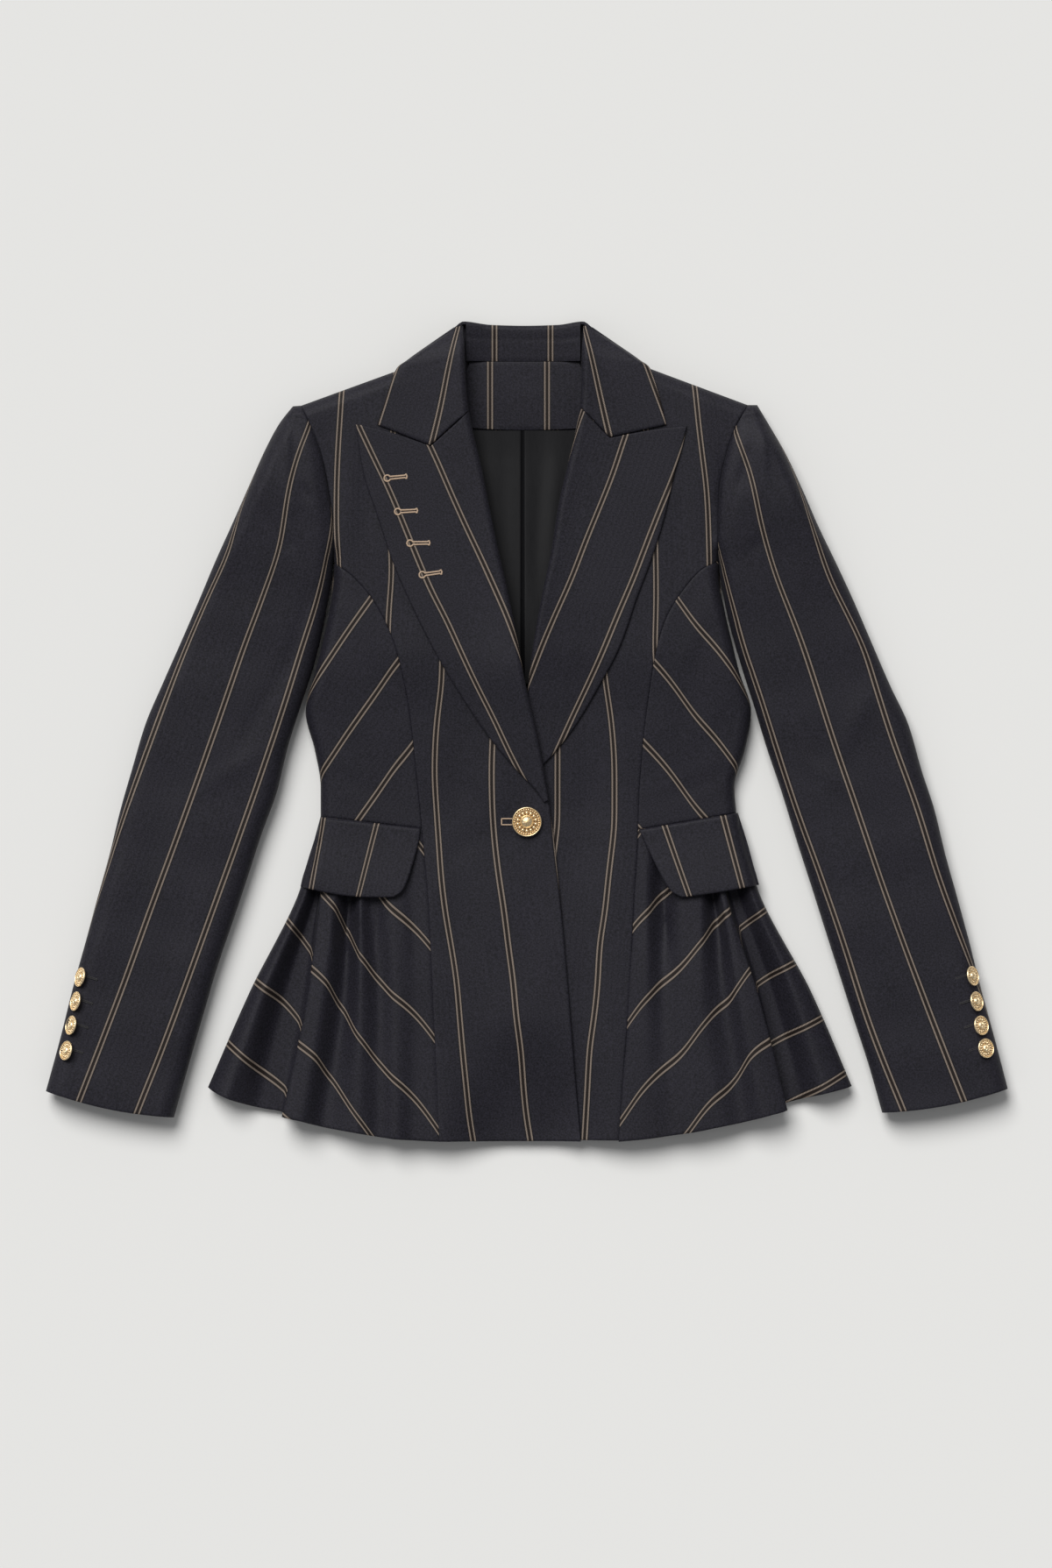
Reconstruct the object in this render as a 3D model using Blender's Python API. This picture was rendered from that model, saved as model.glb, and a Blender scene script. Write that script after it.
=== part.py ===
"""Fitted blazer laid flat on its back: one closed wall for each cut piece, and its buttons.

Sizes and tables are in millimetres, the model is in metres. +X runs to the viewer's right,
+Y toward the collar, +Z up off the surface. Tables give x outward from the middle line, so a
row reads the same way on both sides; "right" and "left" are the wearer's.
"""

import math

import bpy
import numpy as np
from mathutils import Vector

MM = 0.001
SIGN = {"right": -1, "left": 1}

# Walls and clearances
CLOTH = 1.6           # suiting with its interlining
LAPEL_CLOTH = 2.2     # lapel and collar, two layers pressed together
FLAP_CLOTH = 2.4
FLAP_LIFT = 0.8       # the flap hangs a little off the peplum
LINING_CLOTH = 1.2
FACING_CLOTH = 1.4
GAP = 0.3             # between pieces at a seam
LAYER = 0.7           # between a layer and the one that it lies on

# Rolled edges
SHOULDER_ROLL = 12    # how far from the edge the cloth starts to turn down
SIDE_ROLL = 10
SLEEVE_ROLL = 14
COLLAR_ROLL = 10
NECK_RAISE = 2.5      # the back lies on the collar's under side here
HIDDEN_EDGE = 4       # the front starts this far inside the lapel's roll line

# Buttons
FRONT_BUTTON = 25.0
CUFF_BUTTON = 16.5


def table(columns, *rows):
    """One array for each named column."""
    return dict(zip(columns.split(), np.array(rows, float).T))


# Height of the front's outer face and of the side seam, level by level
LEVELS = table(
    "y front seam",
    (-345, 22.0, 10.0),   # hem
    (-140, 18.5, 9.0),
    (-75, 17.0, 8.5),     # waist
    (10, 21.0, 10.5),
    (70, 26.0, 13.0),     # bust
    (200, 26.0, 13.0),
    (330, 26.0, 13.0),    # shoulder
)

# How far the right front lies above the left one where they cross
CLOSURE = table(
    "y lift",
    (-345, 3.6),
    (-90, 3.6),
    (-60, 6.0),
    (40, 7.0),            # one lapel lies on the other
    (75, 3.0),
    (115, 0.0),
    (330, 0.0),
)

# Line of the body's side, which closes to the arm at the top
SIDE_LINE = table(
    "y right left",
    (-345, 266, 270),
    (-140, 188, 194),
    (-71, 172, 175),      # waist
    (-47, 172, 173),
    (-15, 177, 182),
    (16, 184.5, 187),
    (50, 176.5, 177),
    (74, 170.5, 171),
    (98, 165.5, 165.5),
    (130, 161.0, 160.0),
    (145, 161.8, 160.5),  # underarm
    (160, 169, 168),
    (185, 190, 189),
    (220, 240, 240),
)

SHOULDER_END = {"right": (188, 271.5), "left": (184, 272.0)}
NECK_POINT = (70, 314.5)

# Fronts: front edge or roll line, then armhole and princess seam
FRONT = {
    "right": table(
        "in_x in_y out_x out_y",
        (70, 314.5, 188, 271.5),   # shoulder
        (68, 295, 179, 252),
        (58, 274, 170.5, 228),
        (40, 229, 165, 200),
        (30, 180, 161, 169),
        (21, 142, 161, 143),       # underarm
        (17, 123, 145, 129),
        (14, 110, 130, 112),
        (9, 82, 114, 83),
        (4, 54, 106, 58),
        (-4, 16, 98, 18),
        (-11, -13, 94, -17),
        (-17, -50, 90, -55),
        (-22, -86, 87, -88),       # waist
        (-28, -143, 82, -143),
        (-34, -209, 79, -209),
        (-39, -274, 76, -274),
        (-45, -342, 73, -342),     # hem
    ),
    "left": table(
        "in_x in_y out_x out_y",
        (70, 314.5, 184, 272),
        (66, 295, 174, 254),
        (56, 274, 167, 235),
        (36, 231, 160, 200),
        (25, 180, 159, 169),
        (18, 142, 159.5, 143),
        (15, 123, 146, 135),
        (12, 108, 129, 116),
        (7, 82, 115, 92),
        (3, 54, 106.5, 62),
        (0, 16, 100, 20),
        (-3, -15, 96, -18),
        (-8, -52, 93.3, -55),
        (-11, -88, 92.5, -88),
        (-12, -143, 89, -146),
        (-12, -209, 86, -212),
        (-11, -274, 81, -277),
        (-10, -341, 76.5, -341),
    ),
}
ARMHOLE_ROWS = 6      # shoulder to underarm, the first rows of FRONT
LAPEL_END = -55       # level where the lapel runs out into the front edge

# Side fronts: princess seam, then side; the side itself is read from SIDE_LINE
SIDE_FRONT = {
    "right": table(
        "in_x in_y out_y",
        (158, 140, 138),
        (145, 129, 121),
        (130, 112, 102),
        (114, 83, 76),
        (106, 58, 52),
        (98, 18, 18),
        (94, -17, -15),
        (90, -55, -47),
        (87.5, -81, -71),
    ),
    "left": table(
        "in_x in_y out_y",
        (156.5, 141.5, 139),
        (146, 135, 126),
        (129, 116, 104),
        (115, 92, 82),
        (106.5, 62, 54),
        (100, 20, 18),
        (96, -18, -15),
        (93.3, -55, -45),
        (92.7, -82, -68),
    ),
}

# Peplum sides, one row for each seam, valley, ridge and fold edge, at the flap's lower edge and
# at the hem; z is the height of the outer face, 0 where it is the front's own height
PEPLUM = {
    "right": table(
        "mid_x mid_y mid_z hem_x hem_y hem_z",
        (82.5, -139, 0, 73, -342, 0),            # princess seam
        (97, -139, 17.6, 96, -341, 19.5),        # valley
        (113, -139, 19.0, 120, -339, 24.5),      # ridge
        (128, -139, 17.2, 150, -335, 18.5),      # valley
        (140, -138, 19.2, 180, -328, 26.0),      # ridge
        (147, -137, 18.6, 201, -324, 24.0),      # fold edge
        (150, -137, 16.6, 203, -321, 18.0),
        (153, -136, 14.8, 196, -319, 13.0),      # inside the fold
        (158, -135, 15.0, 211, -317, 14.5),
        (168, -134, 17.0, 234, -312, 23.0),      # ridge of the outer flute
        (179, -134, 15.2, 254, -304, 19.5),
        (185.5, -134, 12.0, 263.5, -299, 14.5),
        (187.5, -134, 0, 266, -297, 0),          # side
    ),
    "left": table(
        "mid_x mid_y mid_z hem_x hem_y hem_z",
        (89, -139, 0, 76.5, -342, 0),
        (101, -139, 17.8, 98, -340, 20.0),
        (114, -139, 19.0, 123, -337, 24.0),
        (133, -138, 17.0, 156, -331, 18.5),
        (149, -138, 19.2, 185, -326, 24.5),
        (161, -137, 19.0, 210, -319, 25.5),
        (167, -137, 17.4, 216, -315, 20.0),
        (169.5, -136, 15.2, 214, -312, 14.5),
        (172, -135, 14.2, 208, -311, 12.0),
        (178, -135, 16.2, 224, -308, 15.0),
        (186, -134, 16.0, 244, -304, 22.0),
        (191, -134, 13.0, 262, -299, 17.5),
        (193.5, -134, 10.6, 269, -297, 13.0),
        (194.5, -134, 0, 271, -296, 0),
    ),
}
WAIST_SHARE = 0.30    # share of the peplum's depth that the flap covers
PEPLUM_DEPTH = np.array((0, 0.14, 0.3, 0.46, 0.64, 0.82, 1))

# Lapels: roll line, outer edge, radius of the roll, and how far the row sags at the gorge
LAPEL = {
    "right": table(
        "in_x in_y out_x out_y roll sag",
        (48, 266, 142, 255, 5.0, 25.3),
        (44, 246, 140, 237, 5.0, 13.0),
        (38, 222, 136, 215, 5.0, 4.0),
        (31, 187, 124, 178, 5.0, 0),
        (24, 153, 112, 142, 5.0, 0),
        (16, 118, 96, 105, 4.6, 0),
        (8, 78, 76, 65, 4.2, 0),
        (1, 39, 52, 25, 4.0, 0),
        (-6, 9, 30, -7, 3.6, 0),
        (-12, -20, 8, -33, 3.0, 0),
        (-16, -45, -8, -50, 2.0, 0),
        (-18, -57, -14, -59, 1.4, 0),
    ),
    "left": table(
        "in_x in_y out_x out_y roll sag",
        (44.2, 269.3, 133.3, 253.5, 5.0, 21.1),
        (40, 247, 129, 235, 5.0, 10.0),
        (34, 222, 123, 215, 5.0, 3.0),
        (26, 187, 115, 180, 5.0, 0),
        (20, 149, 105, 147, 5.0, 0),
        (13, 116, 92, 112, 4.2, 0),
        (7, 83, 78, 72, 3.4, 0),
        (2, 47, 58, 34, 2.6, 0),
        (-1, 16, 40, 4, 2.4, 0),
        (-3, -12, 23, -18, 2.2, 0),
        (-7, -37, 5, -37, 2.0, 0),
        (-9, -50, -4, -50, 1.4, 0),
    ),
}
GORGE_SHARE = {"right": 0.34, "left": 0.278}
LAPEL_BULGE = 0.5     # share of the roll's radius that stands above the lapel's own level

# Collar's visible falls: roll line, outer edge or shoulder fold, height at the roll and at the
# outer end, lowest point of the inner side, and sag at the gorge
COLLAR = {
    "right": table(
        "in_x in_y out_x out_y top end low roll sag",
        (48.3, 266.8, 124.4, 254.9, 28.8, 28.8, 24.0, 5.0, 24.0),
        (50, 283, 120, 268, 28.8, 28.8, 20.0, 5.0, 9.0),
        (51, 299, 115, 284, 28.8, 28.8, 15.5, 5.0, 2.0),
        (51.5, 312, 108, 302.5, 28.6, 25.0, 12.0, 5.0, 0),
        (52, 322, 99, 310, 27.0, 12.0, 11.0, 4.5, 0),
        (53, 331, 80, 323.5, 22.0, 10.0, 11.0, 4.0, 0),
        (53, 338, 61, 336.5, 15.0, 9.0, 10.0, 3.0, 0),
    ),
    "left": table(
        "in_x in_y out_x out_y top end low roll sag",
        (44.2, 270.2, 116, 255, 28.8, 28.8, 24.0, 5.0, 20.4),
        (45, 284, 113, 268, 28.8, 28.8, 20.0, 5.0, 8.0),
        (45.3, 299, 108.5, 284, 28.8, 28.8, 15.5, 5.0, 2.0),
        (45.6, 312, 102, 303, 28.6, 25.0, 12.0, 5.0, 0),
        (46, 322, 93.5, 310, 27.0, 12.0, 11.0, 4.5, 0),
        (47, 331, 74, 323.5, 22.0, 10.0, 11.0, 4.0, 0),
        (47, 338, 55, 336.5, 15.0, 9.0, 10.0, 3.0, 0),
    ),
}
COLLAR_GORGE = {"right": 0.42, "left": 0.345}

# Under side of the collar, on the surface: lower edge and fold, from the right end to the left
UNDER_COLLAR = table(
    "x low_y fold_y fold_z",
    (-101, 297, 307.5, 12.0),
    (-80, 296, 323.5, 10.0),
    (-61, 295, 336.5, 9.0),
    (-53, 294, 342.0, 8.6),
    (-30, 293, 339.4, 4.4),
    (-2, 293, 338.7, 3.6),
    (26, 293, 339.4, 4.4),
    (47, 294, 342.0, 8.6),
    (55, 295, 336.5, 9.0),
    (74, 296, 323.5, 10.0),
    (95, 297, 307.5, 12.0),
)
STAND_SPAN = (-50.5, 44.5)
STAND_SEAM = 309.0
STAND_RADIUS = 4.0
STAND_LIFT = 6.4      # height of the stand's outer face at the neck seam

# Sleeves: armhole and inner edge, outer edge, and height of the outer face
SLEEVE = {
    "right": table(
        "in_x in_y out_x out_y top",
        (188, 271.5, 195, 271, 14.0),
        (179, 252, 206, 257, 29.0),
        (170.5, 228, 218, 235, 34.0),
        (165, 200, 231, 206, 35.0),
        (161, 169, 246, 172, 33.0),
        (161, 143, 260, 141, 30.0),     # underarm
        (167, 100, 273, 110, 27.0),
        (177, 56, 289, 73, 25.5),
        (189, 19, 304, 39, 25.0),
        (199, -13, 318, 6, 24.5),
        (208, -50, 329, -31, 24.0),
        (221, -86, 339, -66, 24.0),
        (233, -123, 348, -103, 24.0),
        (245, -159, 358, -139, 24.0),
        (257, -194, 368, -176, 24.0),
        (268, -231, 378, -212, 24.0),
        (281, -276, 389, -256, 24.0),
        (294, -322, 401, -300, 24.0),   # cuff
    ),
    "left": table(
        "in_x in_y out_x out_y top",
        (184, 272, 192, 272, 14.0),
        (174, 254, 201, 257, 29.0),
        (167, 235, 216, 231, 34.0),
        (160, 200, 230, 201, 35.0),
        (159, 169, 243, 171, 33.0),
        (159.5, 143, 257, 142, 30.0),
        (166, 101, 271, 112, 27.0),
        (177.5, 58, 287, 75, 25.5),
        (189.5, 20, 303, 38, 25.0),
        (199.5, -13, 318, 6, 24.5),
        (212, -50, 329, -32, 24.0),
        (225, -92, 340, -66, 24.0),
        (236, -126, 349, -103, 24.0),
        (248, -164, 359, -139, 24.0),
        (259.5, -200, 369, -176, 24.0),
        (271, -236, 378, -212, 24.0),
        (285, -279, 390, -256, 24.0),
        (296, -318, 401, -298, 24.0),
    ),
}
SLEEVE_SEAM = 12.0    # height of the sleeve's two edges
CUFF_SAG = 4.0        # the cuff's edge bows toward the hand
SLEEVE_SLANT = 0.27   # rise of the normal of its outer edge for each step outward

# Inside of the back, which shows between the lapels: half width at each level
LINING = table(
    "y right left",
    (251, 78, 76),
    (200, 66, 64),
    (130, 52, 50),
    (40, 42, 40),
)
FACING_TOP = 308.6
FACING_LOW = 251.6
FACING_HALF = 64
FACING_TAPER = 18     # narrower at the neck seam, clear of the shoulders
PLEAT = {"x": 2.0, "width": 7.0, "height": 3.0}

# Flap: share of the peplum's width where it starts at the top and at the bottom
FLAP = {
    "right": {"top": 0.02, "bottom": 0.165, "end": 0.93, "depth": 0.985},
    "left": {"top": 0.02, "bottom": 0.150, "end": 0.93, "depth": 0.985},
}

# Cuff buttons: level, and turn outward from straight up, in degrees
CUFF_ROWS = {
    "right": table("y turn", (-205, 34), (-225, 28), (-245, 23), (-266, 18)),
    "left": table("y turn", (-204, 31), (-225, 22), (-245, 16), (-264, 12)),
}


def smooth(knot, value, at):
    """Cubic through the values that never swings past them."""
    knot, value, at = (np.asarray(a, float) for a in (knot, value, at))
    step = np.diff(knot)
    slope = np.diff(value) / step
    before, after = slope[:-1], slope[1:]
    same_way = before * after > 0
    weight = 2 * step[1:] + step[:-1], step[1:] + 2 * step[:-1]
    bottom = np.where(same_way, weight[0] * after + weight[1] * before, 1)
    inner = np.where(same_way, (weight[0] + weight[1]) * before * after / bottom, 0)
    tangent = np.concatenate((slope[:1], inner, slope[-1:]))
    i = np.clip(np.searchsorted(knot, at, side="right") - 1, 0, len(step) - 1)
    t = np.clip((at - knot[i]) / step[i], 0, 1)
    start = (1 + 2 * t) * (1 - t) ** 2 * value[i] + t * (1 - t) ** 2 * step[i] * tangent[i]
    end = t * t * (3 - 2 * t) * value[i + 1] - t * t * (1 - t) * step[i] * tangent[i + 1]
    return start + end


def ease(share):
    """Soft step from 0 to 1."""
    t = np.clip(share, 0, 1)
    return t * t * (3 - 2 * t)


def roll(share):
    """Quarter round: 0 at the edge, 1 where the cloth lies level."""
    return np.sqrt(1 - (1 - np.clip(share, 0, 1)) ** 2)


def strip(rows, parts=1):
    """The two edges of a panel, at every row of its table and between the rows.

    parts is how many pieces each space between two rows is cut into, or one number a space.
    """
    ends = [np.stack((rows[f"{end}_x"], rows[f"{end}_y"]), 1) for end in ("in", "out")]
    length = sum(np.linalg.norm(np.diff(end, axis=0), axis=1) for end in ends)
    knot = np.concatenate(([0], np.cumsum(length))) / length.sum()
    parts = np.broadcast_to(parts, len(length))
    spans = [np.linspace(a, b, n, endpoint=False) for a, b, n in zip(knot, knot[1:], parts)]
    shares = np.concatenate((*spans, [1]))
    inner, outer = (
        np.stack([smooth(knot, end[:, k], shares) for k in (0, 1)], -1) for end in ends
    )
    return knot, shares, inner, outer


def across(width, in_roll, out_roll, steps):
    """Distances from the inner edge: close together where the cloth rolls, even between."""
    in_steps, flat_steps, out_steps = steps
    start = np.minimum(in_roll, 0.45 * width)
    end = np.minimum(out_roll, 0.45 * width)
    turn_in = 1 - np.cos(np.linspace(0, math.pi / 2, in_steps + 1))
    turn_out = 1 - np.cos(np.linspace(math.pi / 2, 0, out_steps + 1))
    level = np.linspace(0, 1, flat_steps + 1)[1:-1]
    return np.concatenate(
        (
            start[:, None] * (turn_in if in_steps else turn_in[:1]),
            start[:, None] + (width - start - end)[:, None] * level,
            width[:, None] - end[:, None] * (turn_out if out_steps else turn_out[-1:]),
        ),
        axis=1,
    )


def plan(inner, outer, distance):
    """Points on the line between the two edges, at distances from the inner one."""
    way = outer - inner
    way = way / np.linalg.norm(way, axis=1)[:, None]
    return inner[:, None, :] + way[:, None, :] * distance[..., None]


def level(column, y):
    return smooth(LEVELS["y"], LEVELS[column], y)


def lift_of_closure(side, x, y):
    """Half of the step between the two fronts, up for the right one and down for the left."""
    half = 0.5 * smooth(CLOSURE["y"], CLOSURE["lift"], y)
    at = SIGN[side] * x
    if side == "right":
        return half * ease((at + 62) / 45)
    return -half * (1 - ease((at - 46) / 38))


def edge_roll(side, x, y):
    """1 on the level part of the body, 0 at its side and shoulder."""
    end_x, end_y = SHOULDER_END[side]
    run = math.hypot(end_x - NECK_POINT[0], NECK_POINT[1] - end_y)
    fall = (NECK_POINT[1] - end_y) / run
    shoulder = (end_y - y) * (end_x - NECK_POINT[0]) / run + (end_x - x) * fall
    beside = smooth(SIDE_LINE["y"], SIDE_LINE[side], y) - x
    return roll(shoulder / SHOULDER_ROLL) * roll(beside / SIDE_ROLL)


def front_face(side, x, y):
    """Height of the outer face of the body's upper layer."""
    seam = level("seam", y)
    face = seam + (level("front", y) - seam) * edge_roll(side, x, y)
    return np.maximum(face, seam + GAP / 2) + lift_of_closure(side, x, y)


def back_face(side, x, y):
    """Height of the under face of the body's lower layer."""
    seam = level("seam", y)
    rest = NECK_RAISE * ease((y - 225) / 62) * (1 - ease((x - 108) / 16))
    return np.minimum(rest + (seam - rest) * (1 - edge_roll(side, x, y)), seam - GAP / 2)


def shell(name, side, points, wall, face, material, upright=(), sideways=()):
    """Closed wall behind a grid of outer points.

    face is 1 for cloth seen from above and -1 for cloth on the surface. Edges named in upright
    end square to the surface, those in sideways end level, as at a side seam.
    """
    points = points.copy()
    points[..., 0] *= SIGN.get(side, 1)
    normal = np.cross(np.gradient(points, axis=1), np.gradient(points, axis=0))
    normal /= np.linalg.norm(normal, axis=2)[..., None]
    if normal[..., 2].mean() * face < 0:
        normal = -normal
    level_normal = normal * (1, 1, 0)
    size = np.linalg.norm(level_normal, axis=2)[..., None]
    level_normal = np.where(size > 0.2, level_normal / np.maximum(size, 0.2), normal)
    for edge in upright:
        normal[edge] = (0, 0, face)
    for edge in sideways:
        normal[edge] = level_normal[edge]
    inside = points - normal * np.broadcast_to(wall, points.shape[:2])[..., None]
    rows, columns = points.shape[:2]
    count = rows * columns
    index = np.arange(count).reshape(rows, columns)
    faces = []
    for r in range(rows - 1):
        for c in range(columns - 1):
            a, b, d, e = index[r, c], index[r, c + 1], index[r + 1, c + 1], index[r + 1, c]
            faces += [(a, b, d), (a, d, e)]
            faces += [(d + count, b + count, a + count), (e + count, d + count, a + count)]
    loop = [*index[0, :-1], *index[:-1, -1], *index[-1, :0:-1], *index[:0:-1, 0]]
    for k, a in enumerate(loop):
        b = loop[(k + 1) % len(loop)]
        faces += [(b, a, a + count), (b, a + count, b + count)]
    mesh = bpy.data.meshes.new(name)
    verts = np.concatenate((points.reshape(-1, 3), inside.reshape(-1, 3))) * MM
    mesh.from_pydata(verts.tolist(), [], [tuple(int(i) for i in f) for f in faces])
    a, b, c = (verts[[f[k] for f in faces]] for k in range(3))
    if np.einsum("ij,ij->i", a, np.cross(b, c)).sum() < 0:
        mesh.flip_normals()
    mesh.shade_smooth()
    mesh.set_sharp_from_angle(angle=math.radians(50))
    piece = bpy.data.objects.new(name, mesh)
    mesh.materials.append(material)
    bpy.context.collection.objects.link(piece)
    return piece


FIRST = np.s_[0, :]
LAST = np.s_[-1, :]
INNER = np.s_[:, 0]
OUTER = np.s_[:, -1]


def with_height(ground, height):
    return np.concatenate((ground, height[..., None]), axis=-1)


def with_shoulder_rows(rows):
    """The panel's table with close rows added where it turns down at the shoulder."""
    near = np.array((0.06, 0.2, 0.45))
    return {
        name: np.concatenate((column[:1], column[0] + (column[1] - column[0]) * near, column[1:]))
        for name, column in rows.items()
    }


def make_front(side, cloth):
    _, _, inner, outer = strip(with_shoulder_rows(FRONT[side]))
    under_lapel = ease((inner[:, 1] - LAPEL_END + 6) / 14) * (1 - ease((inner[:, 1] - 262) / 12))
    inner[:, 0] += HIDDEN_EDGE * under_lapel
    outer[:, 0] -= GAP / 2
    width = np.linalg.norm(outer - inner, axis=1)
    ground = plan(inner, outer, across(width, 0, 0, (0, 9, 0)))
    points = with_height(ground, front_face(side, ground[..., 0], ground[..., 1]))
    name = f"front_{side}"
    return shell(name, side, points, CLOTH, 1, cloth, upright=(OUTER,), sideways=(FIRST,))


def make_side_front(side, cloth):
    rows = dict(SIDE_FRONT[side])
    rows["out_x"] = smooth(SIDE_LINE["y"], SIDE_LINE[side], rows["out_y"])
    _, _, inner, outer = strip(rows)
    inner[:, 0] += GAP / 2
    width = np.linalg.norm(outer - inner, axis=1)
    ground = plan(inner, outer, across(width, 0, SIDE_ROLL, (0, 5, 4)))
    points = with_height(ground, front_face(side, ground[..., 0], ground[..., 1]))
    name = f"side_front_{side}"
    upright = (FIRST, LAST, INNER)
    return shell(name, side, points, CLOTH, 1, cloth, upright=upright, sideways=(OUTER,))


def waist_line(side, share):
    """Waist seam of the side, from the princess seam outward."""
    rows = SIDE_FRONT[side]
    start = np.array((rows["in_x"][-1] + GAP / 2, rows["in_y"][-1]))
    end_y = rows["out_y"][-1]
    end = np.array((smooth(SIDE_LINE["y"], SIDE_LINE[side], end_y), end_y))
    return start + (end - start) * np.asarray(share)[..., None]


def peplum_points(side, share, depth):
    """Outer face of a peplum side; share counts its table rows, depth runs from waist to hem."""
    rows = PEPLUM[side]
    knot = np.linspace(0, 1, len(rows["hem_x"]))
    waist_share = (rows["mid_x"] - rows["mid_x"][0]) / np.ptp(rows["mid_x"])
    waist = waist_line(side, waist_share) - (0, GAP)
    seam_z = front_face(side, waist[:, 0], waist[:, 1])
    ends = {}
    for place in ("mid", "hem"):
        x, y, z = (rows[f"{place}_{axis}"].copy() for axis in "xyz")
        z[0] = front_face(side, x[0], y[0])
        z[-1] = level("seam", y[-1]) + GAP / 2
        x[0] += GAP / 2
        ends[place] = np.stack((x, y, z), 1)
    ends["waist"] = np.concatenate((waist, seam_z[:, None]), axis=1)
    across_rows = {
        place: np.stack([smooth(knot, points[:, k], share) for k in range(3)], -1)
        for place, points in ends.items()
    }
    lines = np.stack([across_rows[place] for place in ("waist", "mid", "hem")])
    stops = np.array((0, WAIST_SHARE, 1))
    grid = np.empty((len(depth), len(share), 3))
    for c in range(len(share)):
        for k in range(3):
            grid[:, c, k] = smooth(stops, lines[:, c, k], depth)
    first = np.asarray(share) == 0
    seam = FRONT[side]
    grid[:, first, 0] = smooth(-seam["out_y"], seam["out_x"], -grid[:, first, 1]) + GAP / 2
    grid[:, first, 2] = front_face(side, grid[:, first, 0], grid[:, first, 1])
    return grid


def make_peplum(side, cloth):
    share = np.linspace(0, 1, 3 * (len(PEPLUM[side]["hem_x"]) - 1) + 1)
    points = peplum_points(side, share, PEPLUM_DEPTH)
    name = f"peplum_{side}"
    return shell(name, side, points, CLOTH, 1, cloth, upright=(FIRST, INNER), sideways=(OUTER,))


def make_flap(side, cloth):
    """The flap follows the peplum under it, moved out by the gap."""
    size = FLAP[side]
    share = np.linspace(0, 1, 15)
    depth = np.array((0.02, 0.35, 0.7, 0.93, 1)) * size["depth"] * WAIST_SHARE
    points = np.empty((len(depth), len(share), 3))
    for r, down in enumerate(depth):
        start = size["top"] + (size["bottom"] - size["top"]) * (down / depth[-1]) ** 1.2
        if r == len(depth) - 1:
            start += 0.035
        points[r] = peplum_points(side, start + (size["end"] - start) * share, depth)[r]
    normal = np.cross(np.gradient(points, axis=1), np.gradient(points, axis=0))
    normal /= np.linalg.norm(normal, axis=2)[..., None]
    normal *= np.sign(normal[..., 2:])
    points += normal * (FLAP_LIFT + FLAP_CLOTH)
    return shell(f"flap_{side}", side, points, FLAP_CLOTH, 1, cloth)


def sag_of(share, peak):
    """Shape of a row that dips to one point and comes back."""
    return np.where(share < peak, share / peak, (1 - share) / (1 - peak))


def make_lapel(side, cloth):
    rows = LAPEL[side]
    knot, shares, inner, outer = strip(rows)
    radius = smooth(knot, rows["roll"], shares)[:, None]
    sag = smooth(knot, rows["sag"], shares)[:, None]
    width = np.linalg.norm(outer - inner, axis=1)[:, None]
    radius = np.minimum(radius, 0.45 * width)
    turn = np.radians((-45, -10, 25, 58, 90))
    gorge = GORGE_SHARE[side] * width
    before = radius + (gorge - radius) * np.array((0.5, 1))
    after = gorge + (width - gorge) * np.array((0.33, 0.67, 1))
    distance = np.concatenate((radius * (1 - np.cos(turn)), before, after), axis=1)
    ground = plan(inner, outer, distance)
    ground[..., 1] -= sag * sag_of(distance / width, GORGE_SHARE[side])
    base = front_face(side, ground[..., 0], ground[..., 1]) + LAYER + LAPEL_CLOTH
    bulge = LAPEL_BULGE * radius * np.exp(-np.maximum(distance - radius, 0) / 14)
    crest = base[:, 4:5] + LAPEL_BULGE * radius
    height = base + bulge
    height[:, :5] = crest - radius * (1 - np.sin(turn))
    wall = np.broadcast_to(np.minimum(LAPEL_CLOTH, 0.2 + 0.55 * radius), height.shape)
    return shell(f"lapel_{side}", side, with_height(ground, height), wall, 1, cloth)


def make_collar(side, cloth):
    rows = COLLAR[side]
    knot, shares, inner, outer = strip(rows, (1, 1, 2, 2, 2, 2))
    value = {
        name: smooth(knot, rows[name], shares)[:, None]
        for name in ("top", "end", "low", "roll", "sag")
    }
    width = np.linalg.norm(outer - inner, axis=1)[:, None]
    radius = np.minimum(value["roll"], 0.4 * width)
    end_roll = np.minimum(COLLAR_ROLL, 0.5 * width)
    turn = np.radians((0, 30, 60, 90))
    gorge = np.clip(COLLAR_GORGE[side] * width, radius + 0.5, width - end_roll - 0.5)
    flat = np.concatenate((0.5 * (radius + gorge), gorge), axis=1)
    finish = width - end_roll * (1 - np.cos(np.radians((90, 60, 30, 0))))
    limb = np.full_like(width, 0.8)
    distance = np.concatenate((limb, radius * (1 - np.cos(turn)), flat, finish), axis=1)
    ground = plan(inner, outer, distance)
    ground[..., 1] -= value["sag"] * sag_of(distance / width, COLLAR_GORGE[side])
    height = value["end"] + (value["top"] - value["end"]) * roll((width - distance) / end_roll)
    body = front_face(side, ground[..., 0], ground[..., 1])
    height = np.maximum(height, body + LAPEL_CLOTH + LAYER)
    height += LAPEL_BULGE * radius * np.exp(-np.maximum(distance - radius, 0) / 14)
    crest = height[:, 4:5]
    height[:, 1:5] = crest - radius * (1 - np.sin(turn))
    height[:, :1] = np.minimum(value["low"], height[:, 1:2] - 1)
    wall = np.broadcast_to(np.minimum(LAPEL_CLOTH, 0.2 + 0.55 * radius), height.shape)
    return shell(f"collar_{side}", side, with_height(ground, height), wall, 1, cloth)


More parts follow.
